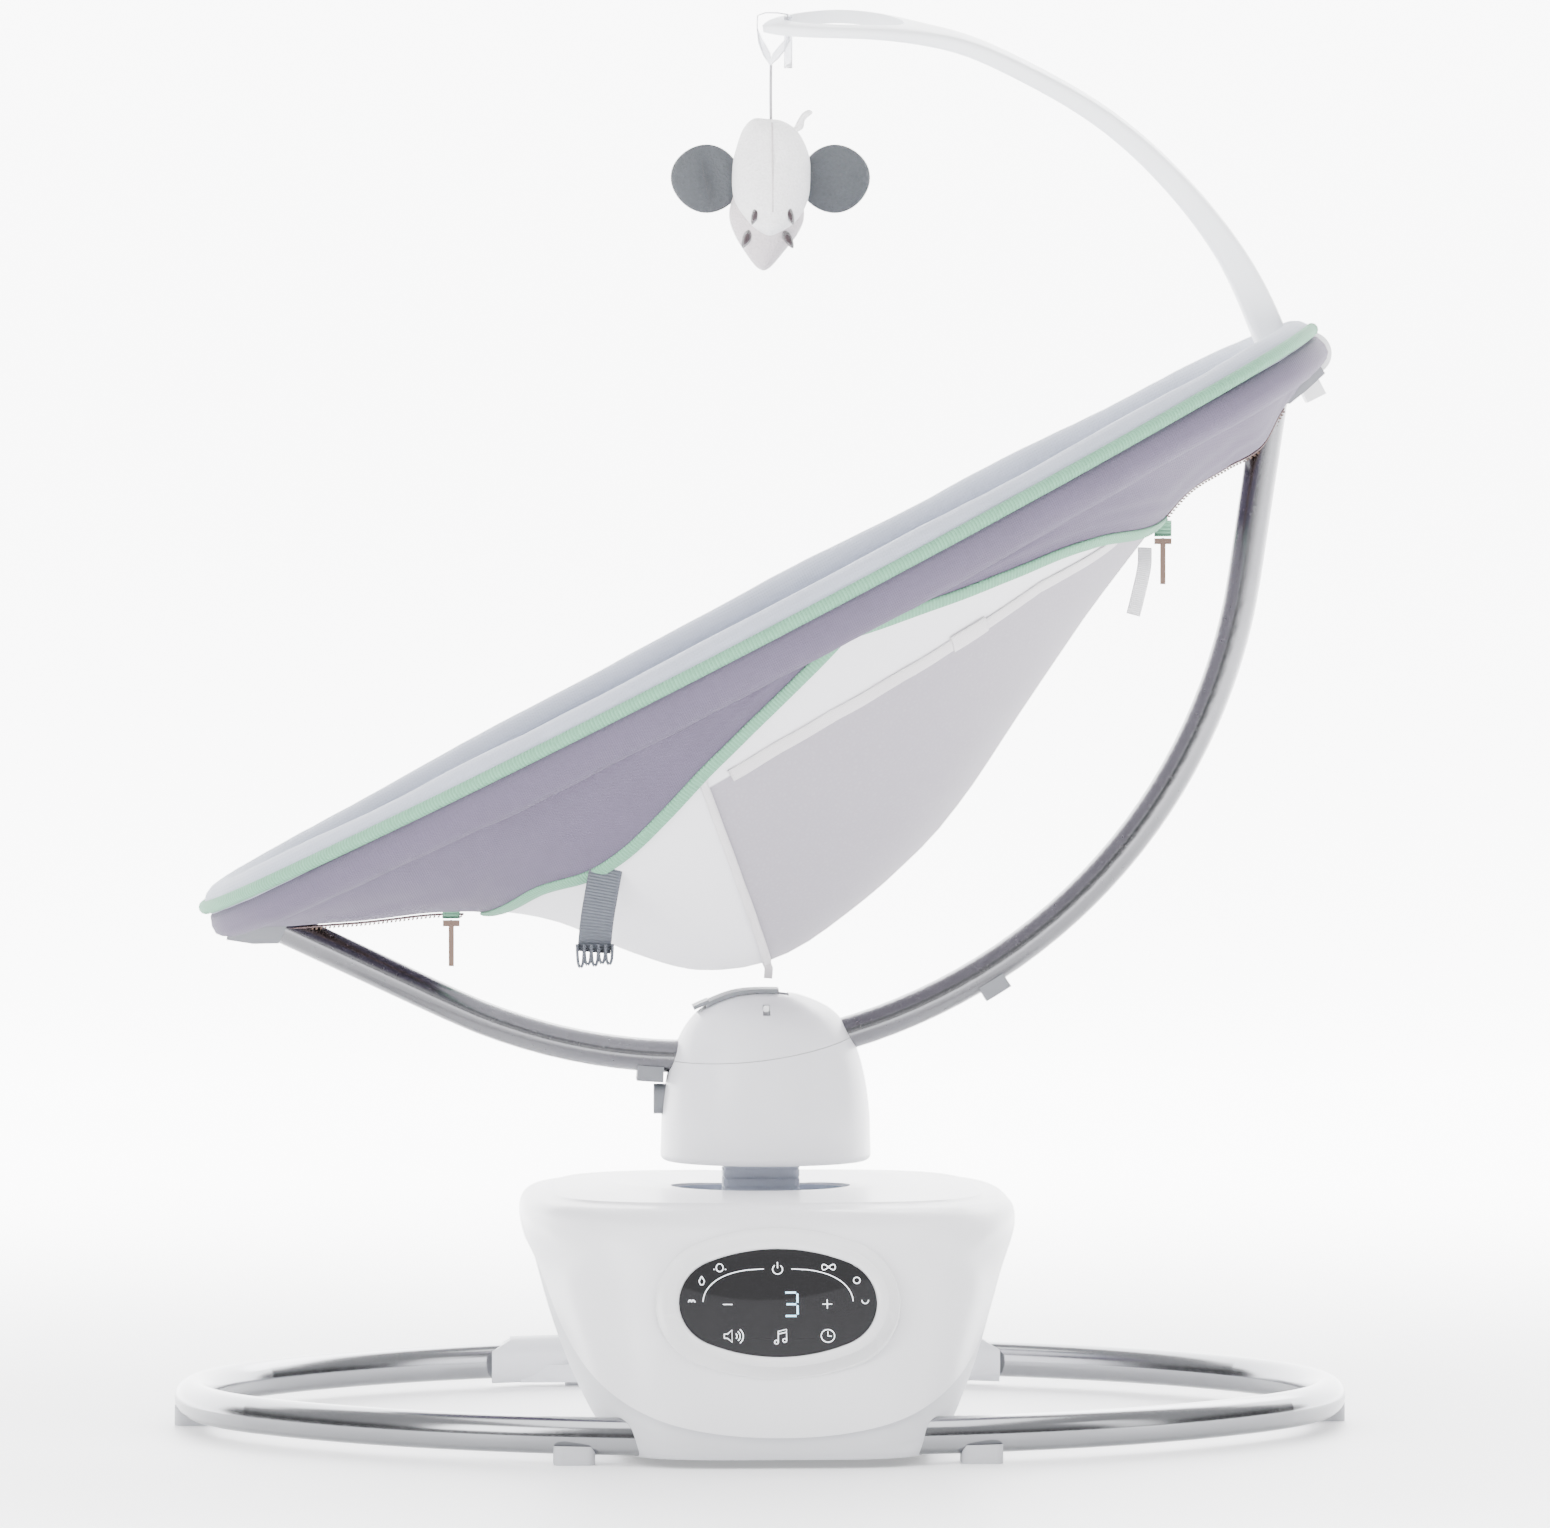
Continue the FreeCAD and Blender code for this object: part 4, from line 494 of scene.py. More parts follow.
def grid_faces(rows, columns, close_rows=False, close_columns=False, flip=False):
    faces = []
    for i in range(rows if close_rows else rows - 1):
        for j in range(columns if close_columns else columns - 1):
            a, b = i * columns + j, i * columns + (j + 1) % columns
            c, d = ((i + 1) % rows) * columns + (j + 1) % columns, ((i + 1) % rows) * columns + j
            faces.append((a, d, c, b) if flip else (a, b, c, d))
    return faces


def swept(name, rings, material, body, closed=False, capped=True):
    """Tube through rings of points, with U along its length in metres."""
    count = len(rings[0])
    length, uvs, points = 0.0, [], []
    for index, ring in enumerate(rings):
        if index:
            length += (sum(ring, Vector()) - sum(rings[index - 1], Vector())).length / count
        points += ring
        uvs += [(length, k * 0.004) for k in range(count)]
    faces = grid_faces(len(rings), count, closed, True)
    if capped and not closed:
        faces.append(tuple(range(count)))
        faces.append(tuple(len(points) - count + k for k in reversed(range(count))))
    return mesh_piece(name, points, faces, material, body, uvs=uvs)


def ribbon_rings(centres, normals, half_width, half_thick, sides=10):
    """Rounded strip: flat along the surface and thin along its normals."""
    rings = []
    for index, centre in enumerate(centres):
        run = centres[min(index + 1, len(centres) - 1)] - centres[max(index - 1, 0)]
        normal = normals[index]
        across = run.cross(normal).normalized()
        ring = []
        for k in range(sides):
            angle = around(k, sides)
            wide = math.copysign(abs(math.cos(angle)) ** 0.7, math.cos(angle))
            ring.append(centre + across * (wide * half_width) + normal * (math.sin(angle) * half_thick))
        rings.append(ring)
    return rings


# ------------ seat fabrics

def rim_station(angle):
    """Centreline point of the hoop and its outward direction in the seat plane."""
    def flat(a):
        s = HALF * math.cos(a)
        return Vector((s, math.copysign(EGG.width(s), math.sin(a)), 0))
    here = flat(angle)
    tangent = flat(angle + 0.004) - flat(angle - 0.004)
    outward = Vector((tangent.y, -tangent.x, 0)).normalized()
    return here, outward


def rim_sweep(name, section, material, count=160, gap=0.0):
    """Sweep about the hoop, open by a gap at the head; section(s) lists (outwards, up) offsets."""
    rings = []
    for step in range(count):
        share = step / (count - 1) if gap else (step + 0.5) / count
        here, outward = rim_station(gap + (2 * math.pi - 2 * gap) * share)
        ring = []
        for out, lift in section(here.x, here.y):
            spot = here + outward * out
            ring.append(seat_point(spot.x, spot.y, lift))
        rings.append(ring)
    return swept(name, rings, material, "seat", closed=not gap)


def oval_ring(centre_out, centre_up, half_out, half_up, sides=16):
    return [(centre_out + half_out * math.cos(around(k, sides)),
             centre_up + half_up * math.sin(around(k, sides))) for k in range(sides)]


PIPING_GAP = 0.125          # angle left open at the head for the toy bar


def piping_height(s):
    return 0.009 + 0.004 * (abs(s) / HALF) ** 2


def make_rim():
    """Cloth sleeve over the hoop, rolled liner edge above it and the mint piping between."""
    def sleeve(s, y):
        pucker = uneven(s * 45, y * 45, 2.0, 0.0006)
        fall = 0.003 + min(0.009, spline_value(SAG, s) * 0.016 / max(EGG.width(s), 0.06))
        outside = [(-0.0080, 0.0080), (-0.0020, 0.0112), (0.0045, 0.0100), (0.0088, 0.0066), (0.0108, 0.0010),
                   (0.0106, -0.0040), (0.0085, -0.0062 - fall * 0.15), (0.0050, -0.0072 - fall * 0.45),
                   (0.0005, -0.0068 - fall * 0.80), (-0.0050, -0.0050 - fall)]
        inside = [(-0.0085, -0.0020 - fall), (-0.0105, -0.0015), (-0.0105, 0.0040)]
        return [(out + pucker, lift - pucker) for out, lift in outside + inside]

    def roll(s, y):
        swell = uneven(s * 14, y * 14, 5.0, 0.0012) + uneven(s * 60, y * 60, 1.0, 0.0004)
        return oval_ring(-0.0050, 0.0125, 0.0135 + swell, 0.0105 + swell)

    def piping(s, y):
        return oval_ring(0.0090, piping_height(s), 0.0038, 0.0040, 12)

    cover = rim_sweep("rim_sleeve", sleeve, LAVENDER)
    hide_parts("seat_cover")
    edge = rim_sweep("liner_roll", roll, LINER)
    rim_sweep("rim_piping", piping, MINT, 220, PIPING_GAP)


RINGS = 26
SPOKES = 112


def bowl(shape):
    """Grid of a bowl from the spine (first ring) to the rim (last ring)."""
    points = []
    for ring in range(RINGS + 1):
        reach = ring / RINGS
        for spoke in range(SPOKES):
            angle = around(spoke + 0.5, SPOKES)
            s = HALF * 0.999 * math.cos(angle)
            y = math.copysign(EGG.width(s), math.sin(angle)) * reach
            s *= 1 - 0.35 * (1 - reach) ** 2
            points.append(shape(s, max(-1.0, min(1.0, y / max(EGG.width(s), 1e-4)))))
    faces = grid_faces(RINGS + 1, SPOKES, False, True)
    return points, faces


def spine_faces():
    """Faces that close the innermost ring of a bowl across the spine."""
    return [(k, SPOKES - 1 - k, SPOKES - 2 - k, k + 1) for k in range(SPOKES // 2 - 1)]


def thicken(piece):
    """Gives a sheet the thickness of the cloth."""
    thick = piece.modifiers.new("cloth", "SOLIDIFY")
    thick.thickness = CLOTH_THICK
    thick.offset = 0.0


def make_hammock():
    points, faces = bowl(cloth_point)
    faces += spine_faces()
    piece = mesh_piece("hammock_cloth", points, faces, HAMMOCK_CLOTH, "seat")
    thicken(piece)
    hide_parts("hammock")


CHANNELS = (-0.235, -0.150, -0.060, 0.040, 0.130, 0.215)


def quilting(s, y):
    """0 on a sewn channel, 1 between them."""
    value = 1.0
    for channel in CHANNELS:
        bow = 0.018 * (1 - (y / WIDTH) ** 2)
        value = min(value, abs(s - channel - bow) / 0.022)
    value = min(value, abs(abs(y) - 0.098 - 0.02 * math.cos(s * 6)) / 0.020)
    return min(1.0, max(value, 0.0)) ** 0.45


def make_liner():
    """Padded inside of the seat, quilted in cushions between sewn channels."""
    def top(s, t):
        y = t * EGG.width(s)
        edge = min(1.0, (1 - abs(t)) / 0.10)
        swell = 0.0035 + 0.0085 * quilting(s, y) * math.sqrt(max(edge, 0.0))
        swell += uneven(s * 26, y * 26, 9.0, 0.0012)
        return cloth_point(s, t * 0.985, -swell)

    def under(s, t):
        return cloth_point(s, t * 0.99, -0.0016)

    upper, faces = bowl(top)
    lower, _same = bowl(under)
    count = len(upper)
    base = faces + spine_faces()
    turned = [tuple(count + index for index in reversed(face)) for face in base]
    last = RINGS * SPOKES
    hem = [(last + k, last + (k + 1) % SPOKES, count + last + (k + 1) % SPOKES, count + last + k)
           for k in range(SPOKES)]
    piece = mesh_piece("seat_liner", upper + lower, base + turned + hem, LINER, "seat",
                       levels=1)
    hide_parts("seat_pad")


# distance along the seat, depth of the edge of each side panel under the hoop
FOOT_EDGE = [(-0.352, 0.012), (-0.300, 0.034), (-0.250, 0.055), (-0.226, 0.066), (-0.191, 0.065),
             (-0.160, 0.069), (-0.139, 0.067), (-0.110, 0.058), (-0.071, 0.044), (-0.023, 0.029),
             (0.026, 0.013), (0.050, 0.002)]
HEAD_EDGE = [(0.006, 0.001), (0.035, 0.010), (0.079, 0.017), (0.142, 0.026), (0.193, 0.033), (0.235, 0.045),
             (0.290, 0.034), (0.312, 0.033), (0.331, 0.021), (0.352, 0.011)]


def edge_t(s, edge):
    depth = spline_value(SAG, s)
    share = min(spline_value(edge, s) / max(depth, 1e-4), 1.0)
    return (1 - share) ** (1 / FOLD)


def make_wing(name, edge, side, lift):
    """Side panel of firmer cloth between the rim and its bound edge."""
    rows, columns = 84, 18
    low, high = edge[0][0], edge[-1][0]
    points = []
    for i in range(rows):
        s = low + (high - low) * i / (rows - 1)
        inner = edge_t(s, edge)
        for j in range(columns):
            t = 1 - (1 - inner) * j / (columns - 1)
            pull = math.sin(j / (columns - 1) * math.pi)
            crease = uneven(s * 20 + j * 0.22, j * 0.35, lift * 900, 0.0016 * pull)
            points.append(cloth_point(s, side * t, lift + crease))
    thicken(mesh_piece(name, points, grid_faces(rows, columns), LAVENDER, "seat", levels=1))


def cloth_strip(name, places, half_width, half_thick, lift, material):
    """Tape that lies on the hammock, or inside it where the lift is negative, through every (s, t) place."""
    centres, normals = [], []
    for s, t in places:
        here = cloth_point(s, t, lift)
        beyond = cloth_point(s, t, lift + math.copysign(NORMAL_STEP, lift))
        centres.append(here)
        normals.append((beyond - here).normalized())
    swept(name, ribbon_rings(centres, normals, half_width, half_thick), material, "seat")


def between(places, per_leg=12):
    """Places joined by straight legs, each cut into a number of steps."""
    steps, legs = per_leg * (len(places) - 1), len(places) - 1
    dense = []
    for i in range(steps + 1):
        position = i / steps * legs
        index = min(int(position), legs - 1)
        share = position - index
        dense.append([a * (1 - share) + b * share for a, b in zip(places[index], places[index + 1])])
    return dense


def make_binding(name, edge, side, lift, low, high, steps=90):
    stations = [low + (high - low) * i / (steps - 1) for i in range(steps)]
    places = [(s, side * edge_t(s, edge)) for s in stations]
    cloth_strip(name, places, 0.0041, 0.0015, lift, MINT)


def make_panels():
    for side, word in SIDES:
        make_wing(f"{word}_foot_panel", FOOT_EDGE, side, 0.0016)
        make_wing(f"{word}_head_panel", HEAD_EDGE, side, 0.0024)
        make_binding(f"{word}_foot_binding", FOOT_EDGE, side, 0.0026, -0.226, 0.050)
        make_binding(f"{word}_head_binding", HEAD_EDGE, side, 0.0034, 0.006, 0.238)


def depth_t(s, depth):
    """Place across the cloth where it hangs a depth under the hoop."""
    return (1 - min(depth / spline_value(SAG, s), 1.0)) ** (1 / FOLD)


def tape_t(s):
    return depth_t(s, -TAPE_AT - TAPE_LEAN * s)


def seam_tape(name, places, half_width, half_thick, lift):
    cloth_strip(name, between(places), half_width, half_thick, lift, SEAM_CLOTH)


def make_seams():
    """Sewn tapes of the hammock: one round under the seat and one along each side."""
    for side, word in SIDES:
        row = [(s, side * tape_t(s)) for s in (-0.062, -0.030, 0.010, 0.055, 0.100, 0.150, 0.205)]
        seam_tape(f"{word}_side_seam", row, 0.0044, 0.0010, 0.0014)
        patch = [(s, side * tape_t(s)) for s in (0.088, 0.100, 0.112)]
        seam_tape(f"{word}_seam_patch", patch, 0.0062, 0.0012, 0.0018)
        down = []
        for depth in (0.046, 0.080, 0.115, 0.145, 0.163, 0.170):
            s = CROSS_AT - CROSS_LEAN * depth
            down.append((s, side * depth_t(s, depth)))
        down.append((CROSS_AT - CROSS_LEAN * 0.1715, 0.0))
        seam_tape(f"{word}_cross_seam", down, 0.0026, 0.0014, 0.0014)
    bottom = cloth_point(-0.092, -0.02, 0.001)
    tail = [bottom, bottom + Vector((0.0015, -0.0015, -0.004)), bottom + Vector((0.001, -0.002, -0.010))]
    rings = ribbon_rings(tail, [FRONT] * 3, 0.0026, 0.0008)
    swept("seam_tail", rings, SEAM_CLOTH, "seat")


ZIP_SIDE = -0.10            # place of the zips across the cloth
TEETH = 44
BOX_FACES = ((0, 1, 3, 2), (4, 6, 7, 5), (0, 4, 5, 1), (2, 3, 7, 6), (1, 5, 7, 3), (0, 2, 6, 4))


def make_zips():
    """Zip tapes under the two ends of the seat, with rows of teeth."""
    for word, low, high in (("foot", -0.345, -0.238), ("head", 0.238, 0.335)):
        places = [(low + (high - low) * k / 4, ZIP_SIDE) for k in range(5)]
        cloth_strip(f"{word}_zip_tape", between(places), 0.0060, 0.0007, 0.0034, TAPE)
        points, faces = [], []
        for k in range(TEETH):
            s = low + (high - low) * (k + 0.5) / TEETH
            here = cloth_point(s, ZIP_SIDE, 0.0042)
            normal = (cloth_point(s, ZIP_SIDE, 0.0062) - here).normalized()
            across = ALONG.cross(normal).normalized()
            first = len(points)
            points += [here + ALONG * (a * 0.0007) + across * (b * 0.0018) + normal * (c * 0.0011)
                       for a in (-1, 1) for b in (-1, 1) for c in (0, 1)]
            faces += [tuple(first + index for index in face) for face in BOX_FACES]
        mesh_piece(f"{word}_zip_teeth", points, faces, SLOT_PAINT["zip_metal"], "seat",
                   smooth=False)


def make_zip_ends():
    """Folded mint tab between the cloth and each zip slider."""
    for word, s in (("foot", -0.246), ("head", 0.236)):
        low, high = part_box(f"{word}_zip_pull")
        place = Vector(((low.x + high.x) / 2, (low.y + high.y) / 2, high.z + 0.0008))
        top = cloth_point(s, place.y / EGG.width(s), 0.0)
        top = Vector((place.x, place.y, max(top.z, place.z + 0.004) + 0.001))
        centres = [top, (top + place) / 2 + Vector((0, -0.0004, 0)), place]
        rings = ribbon_rings(centres, [FRONT] * 3, 0.0052, 0.0028)
        swept(f"{word}_zip_end", rings, MINT, "seat")


# ------------ straps and ties

def hanging_strap(name, route, half_width, half_thick, material, node=None, facing=FRONT):
    centres = []
    steps = 8 * (len(route) - 1)
    for i in range(steps + 1):
        position = i / steps * (len(route) - 1)
        index = min(int(position), len(route) - 2)
        share = position - index
        here, there = route[index], route[index + 1]
        before, after = route[max(index - 1, 0)], route[min(index + 2, len(route) - 1)]
        centres.append(hermite(share, here, (there - before) / 2, there, (after - here) / 2))
    normals = []
    for index in range(steps + 1):
        run = (centres[min(index + 1, steps)] - centres[max(index - 1, 0)]).normalized()
        normals.append((facing - run * facing.dot(run)).normalized())
    piece = swept(name, ribbon_rings(centres, normals, half_width, half_thick), material, "seat")
    if node:
        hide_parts(node)


def harness_strap(name, places, half_width):
    """Webbing that lies on the pad inside the seat."""
    cloth_strip(name, between(places, 10), half_width, 0.0008, -0.0165, WEB)


def make_straps():
    """Loose webbing end under the seat, harness webbing inside it and the white tie."""
    y = -0.1345
    tail = [Vector((-0.094, y + 0.004, 0.352)), Vector((-0.097, y, 0.336)), Vector((-0.1015, y, 0.310)),
            Vector((-0.1035, y, 0.290))]
    hanging_strap("harness_tail", tail, 0.0098, 0.0007, WEB, "harness_straps")
    pitch = 0.0042
    for k in range(5):
        x = -0.1135 + pitch * k
        drop = 0.2815 + 0.0010 * (k % 2) + 0.0004 * k
        bends = ((0.0, 0.0020, 0.2950), (0.0006, 0.0024, drop + 0.003), (0.0021, 0.0026, drop),
                 (0.0036, 0.0024, drop + 0.003), (pitch, 0.0020, 0.2950))
        loop = [Vector((x + a, y - b, z)) for a, b, z in bends]
        hanging_strap(f"tail_fold_{k}", loop, 0.0044, 0.0009, WEB, None, Vector((1, 0, 0)))
    for side, word in SIDES:
        places = [(s, side * t) for s, t in ((-0.030, 0.10), (-0.024, 0.30), (-0.012, 0.52), (0.004, 0.74))]
        harness_strap(f"{word}_waist_strap", places, 0.0125)
    harness_strap("crotch_strap", [(-0.165, 0.0), (-0.120, 0.0), (-0.075, 0.0), (-0.046, 0.0)], 0.0150)
    tie_low, tie_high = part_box("head_tie")
    x, y, z = (tie_low.x + tie_high.x) / 2, (tie_low.y + tie_high.y) / 2, tie_high.z
    route = [Vector((x + 0.004, y + 0.008, z + 0.016)), Vector((x + 0.003, y, z + 0.004)),
             Vector((x - 0.001, y, z - 0.014)), Vector((x - 0.0035, y, tie_low.z))]
    hanging_strap("white_tie", route, 0.0042, 0.0005, WHITE_TAPE, "head_tie")


# ------------ hanging toy

def lathe_blob(name, stations, material, centre, fuzz=0.0):
    """Stuffed shape through rings: (height, half width, half depth, shift along X, shift along Y)."""
    rings, sides, steps = [], 28, 34
    columns = [list(enumerate(column)) for column in zip(*stations)]
    for i in range(steps + 1):
        position = i / steps * (len(stations) - 1)
        z, wide, deep, shift_x, shift_y = (spline_value(column, position) for column in columns)
        ring = []
        for k in range(sides):
            angle = around(k, sides)
            spot = Vector((shift_x + wide * math.cos(angle), shift_y + deep * math.sin(angle), z))
            lump = fuzz * noise.noise(spot * 60)
            ring.append(centre + spot * (1 + lump))
        rings.append(ring)
    return swept(name, rings, material, "toy")


def make_toy():
    """Plush mouse-like animal that hangs nose down: body, muzzle, ears, tail and stitched eyes."""
    low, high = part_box("toy_body")
    x = (low.x + high.x) / 2
    base = Vector((x, 0.0, low.z))
    tall = high.z - low.z
    body = [(tall, 0.0015, 0.0015, -0.002, 0), (tall * 0.985, 0.009, 0.009, -0.002, 0),
            (tall * 0.90, 0.0175, 0.017, -0.001, 0), (tall * 0.74, 0.0225, 0.0225, 0.0, 0),
            (tall * 0.56, 0.0235, 0.0240, 0.0, -0.001), (tall * 0.42, 0.0205, 0.0225, 0.0, -0.004),
            (tall * 0.31, 0.0135, 0.0180, 0.0, -0.008), (tall * 0.25, 0.0060, 0.0120, -0.001, -0.010),
            (tall * 0.225, 0.0012, 0.0040, -0.001, -0.012)]
    piece = lathe_blob("toy_back", body, PLUSH_WHITE, base, 0.03)
    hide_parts("toy_body")
    muzzle = [(tall * 0.50, 0.0200, 0.0120, -0.002, 0.004), (tall * 0.36, 0.0225, 0.0165, -0.0025, 0.003),
              (tall * 0.24, 0.0190, 0.0150, -0.0030, 0.002), (tall * 0.12, 0.0115, 0.0110, -0.0040, 0.001),
              (tall * 0.03, 0.0050, 0.0060, -0.0045, 0.0), (0.0, 0.0010, 0.0012, -0.0045, 0.0)]
    chin = lathe_blob("toy_muzzle", muzzle, PLUSH_SHADE, base, 0.03)
    tail = [(0.0005, 0.0022, 0.0022, 0.0, 0), (0.004, 0.0030, 0.0028, 0.005, 0),
            (0.007, 0.0030, 0.0028, 0.010, 0), (0.012, 0.0022, 0.0022, 0.012, 0),
            (0.016, 0.0030, 0.0030, 0.0155, 0), (0.018, 0.0008, 0.0008, 0.0165, 0)]
    lathe_blob("toy_tail", tail, PLUSH_WHITE, Vector((x + 0.006, -0.006, high.z - 0.013)))
    make_ears(x)
    make_toy_seam(base, tall)
    eyes = ((-0.0105, 0.355, 0.0030, 0.0056, -0.35, 0.02315), (0.0105, 0.355, 0.0030, 0.0056, 0.35, 0.02315),
            (-0.0150, 0.205, 0.0036, 0.0060, -0.45, 0.0108), (0.0100, 0.200, 0.0034, 0.0058, 0.5, 0.0125))
    for number, (dx, height, wide, tall_half, lean, out) in enumerate(eyes):
        make_eye(f"toy_eye_{number}", Vector((x + dx, -out, low.z + height * tall)), wide, tall_half, lean)


def make_eye(name, centre, half_width, half_height, lean):
    """Thin embroidered drop that stands a hair proud of the plush."""
    points, sides = [centre + Vector((0, -0.0016, 0))], 18
    for k in range(sides):
        angle = around(k, sides)
        u = half_width * math.cos(angle) * (0.75 + 0.25 * math.sin(angle))
        v = half_height * math.sin(angle)
        points.append(centre + Vector((u * math.cos(lean) - v * math.sin(lean), 0.0008 * math.cos(angle) ** 2,
                                       u * math.sin(lean) + v * math.cos(lean))))
    back = len(points)
    points.append(centre + Vector((0, 0.003, 0)))
    faces = [(0, 1 + k, 1 + (k + 1) % sides) for k in range(sides)]
    faces += [(back, 1 + (k + 1) % sides, 1 + k) for k in range(sides)]
    mesh_piece(name, points, faces, EYE, "toy")


EAR_ROWS, EAR_COLUMNS = 14, 36
EAR_RADIUS = 0.0212
EAR_PUFF = 0.0030           # half thickness of the stuffing


def ear_points(middle, side):
    """Two round faces of an ear, from the centre outwards; the fold is deep in the left one only."""
    points = []
    for face_side in (-1, 1):
        for i in range(EAR_ROWS + 1):
            reach = i / EAR_ROWS
            for k in range(EAR_COLUMNS):
                angle = around(k, EAR_COLUMNS)
                wide = EAR_RADIUS * (1 + 0.05 * math.cos(2 * angle - side * 0.6))
                u, v = reach * wide * math.cos(angle), reach * EAR_RADIUS * math.sin(angle)
                puff = EAR_PUFF * math.sqrt(max(1 - reach ** 4, 0.0))
                fold = 0.006 * math.exp(-((u * side + 0.004 - 0.25 * v) / 0.006) ** 2) * (1 - reach ** 2)
                fold *= 1.0 if side < 0 else 0.25
                points.append(middle + Vector((u, face_side * puff + fold + 0.004 * (u / 0.02) ** 2, v)))
    return points


def make_ears(x):
    low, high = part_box("toy_ears")
    front = grid_faces(EAR_ROWS + 1, EAR_COLUMNS, False, True)
    layer = (EAR_ROWS + 1) * EAR_COLUMNS
    faces = front + [tuple(layer + index for index in reversed(face)) for face in front]
    for side, word in ((-1, "left"), (1, "right")):
        outer = high.x - x if side > 0 else x - low.x
        middle = Vector((x + side * (outer - 0.0215), 0.004, (low.z + high.z) / 2))
        points = ear_points(middle, side)
        ear = mesh_piece(f"{word}_ear", points, faces, PLUSH_GREY, "toy", levels=1)
        weld = ear.modifiers.new("join", "WELD")
        weld.merge_threshold = 0.0004
        ear.modifiers.move(1, 0)
        if side < 0:
            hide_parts("toy_ears")


def make_toy_strap():
    """Clear strap looped over the nose of the toy bar, with its free end."""
    route = [(0.0163, 0.8452), (0.0100, 0.8462), (0.0030, 0.8462), (-0.0018, 0.8445), (-0.0020, 0.8370),
             (0.0002, 0.8290), (0.0038, 0.8215), (0.0063, 0.8168), (0.0092, 0.8205), (0.0130, 0.8252),
             (0.0163, 0.8300), (0.0168, 0.8380), (0.0163, 0.8452)]
    centres = [Vector((x, 0.0, z)) for x, z in route]
    rings = []
    for index, centre in enumerate(centres):
        before = centres[index - 1] if index else centres[-2]
        after = centres[index + 1] if index < len(centres) - 1 else centres[1]
        run = (after - before).normalized()
        turn = max(0.0, min(1.0, (0.838 - centre.z) / 0.016)) * 1.1
        side = ACROSS * math.cos(turn) + run.cross(ACROSS) * math.sin(turn)
        out = run.cross(side).normalized()
        half = 0.0040 - 0.0012 * turn
        rings.append([centre + side * (half * math.cos(a)) + out * (0.0005 * math.sin(a))
                      for a in [around(k, 10) for k in range(10)]])
    piece = swept("strap_loop", rings, SLOT_PAINT["clear_strap"], "toy_bar_body")
    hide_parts("toy_strap")
    free = [Vector((0.0166, -0.0010, z)) for z in (0.8440, 0.8300, 0.8200, 0.8130)]
    normals = [Vector((0.5, -0.87, 0)).normalized()] * 4
    rings = ribbon_rings(free, normals, 0.0030, 0.0004)
    swept("strap_end", rings, SLOT_PAINT["clear_strap"], "toy_bar_body")


def make_toy_seam(base, tall):
    """Raised seam down the front of the plush body."""
    line = ((0.97, 0.0125), (0.90, 0.0170), (0.74, 0.0226), (0.56, 0.0251), (0.45, 0.0262), (0.38, 0.0263))
    centres = [base + Vector((0, -out - 0.0002, height * tall)) for height, out in line]
    rings = ribbon_rings(centres, [FRONT] * len(centres), 0.0005, 0.0004)
    swept("toy_seam", rings, PLUSH_SHADE, "toy")


def make_toy_cord():
    """String between the clear strap and the toy."""
    top = Vector(JOINTS["toy_swing"]["pos_m"])
    _low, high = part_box("toy_body")
    route = [top, Vector((top.x - 0.0003, 0.0, (top.z + high.z) / 2)), Vector((top.x, 0.0, high.z - 0.001))]
    curve = new_curve("toy_string", 0.0009, 3, THREAD)
    spline = curve.splines.new("NURBS")
    spline.points.add(len(route) - 1)
    for point, place in zip(spline.points, route):
        point.co = (*place, 1.0)
    spline.order_u = 3
    spline.use_endpoint_u = True
    cord = placed("toy_string", curve)
    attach(cord, "toy")
    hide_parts("toy_ribbon")


# ------------ control panel

def panel_point(u, v, lift=0.0):
    return LENS_FACE + PANEL_RIGHT * u + PANEL_UP * v + PANEL_OUT * lift


def oval_point(angle, grow):
    """Point of the lens outline moved outwards: two side arcs and two end arcs."""
    half_x, half_y, end = LENS_HALF.x + grow, LENS_HALF.y + grow, LENS_ENDS + grow
    reach, rise = half_x - end, half_y - end
    drop = (reach ** 2 - rise ** 2) / (2 * rise)
    side = half_y + drop
    cosine, sine = abs(math.cos(angle)), abs(math.sin(angle))
    along = reach * cosine
    distance = along + math.sqrt(max(along ** 2 - reach ** 2 + end ** 2, 0.0))
    x, y = distance * cosine, distance * sine
    if y * reach > (x - reach) * drop:
        distance = -drop * sine + math.sqrt((drop * sine) ** 2 - drop ** 2 + side ** 2)
        x, y = distance * cosine, distance * sine
    return math.copysign(x, math.cos(angle)), math.copysign(y, math.sin(angle))


def make_bezel():
    """Oval bezel with fine concentric ridges that deepen towards the lower right."""
    plain = [(0.0003, -0.0040), (0.0003, -0.0002), (0.0010, 0.0009), (0.0032, 0.0017), (0.0060, 0.0018)]
    outer = [(0.0137, -0.0004), (0.0140, -0.0026), (0.0138, -0.0050)]
    points, columns, lines = [], 128, 13
    for k in range(columns):
        angle = around(k, columns)
        depth = 0.00012 + 0.00050 * max(0.0, math.cos(angle + 0.9)) ** 0.7
        ridges = []
        for step in range(lines):
            crown = 0.0017 - 0.0017 * (step / (lines - 1)) ** 2
            ridges.append((0.0068 + 0.0005 * step, crown - (depth if step % 2 else 0.0)))
        for grow, lift in plain + ridges + outer:
            u, v = oval_point(angle, grow)
            points.append(panel_point(u, v, lift))
    rows = len(plain) + lines + len(outer)
    faces = grid_faces(columns, rows, True, False, flip=True)
    piece = mesh_piece("bezel_ring", points, faces, SLOT_PAINT["bezel_plastic"], "base")
    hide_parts("panel_bezel")


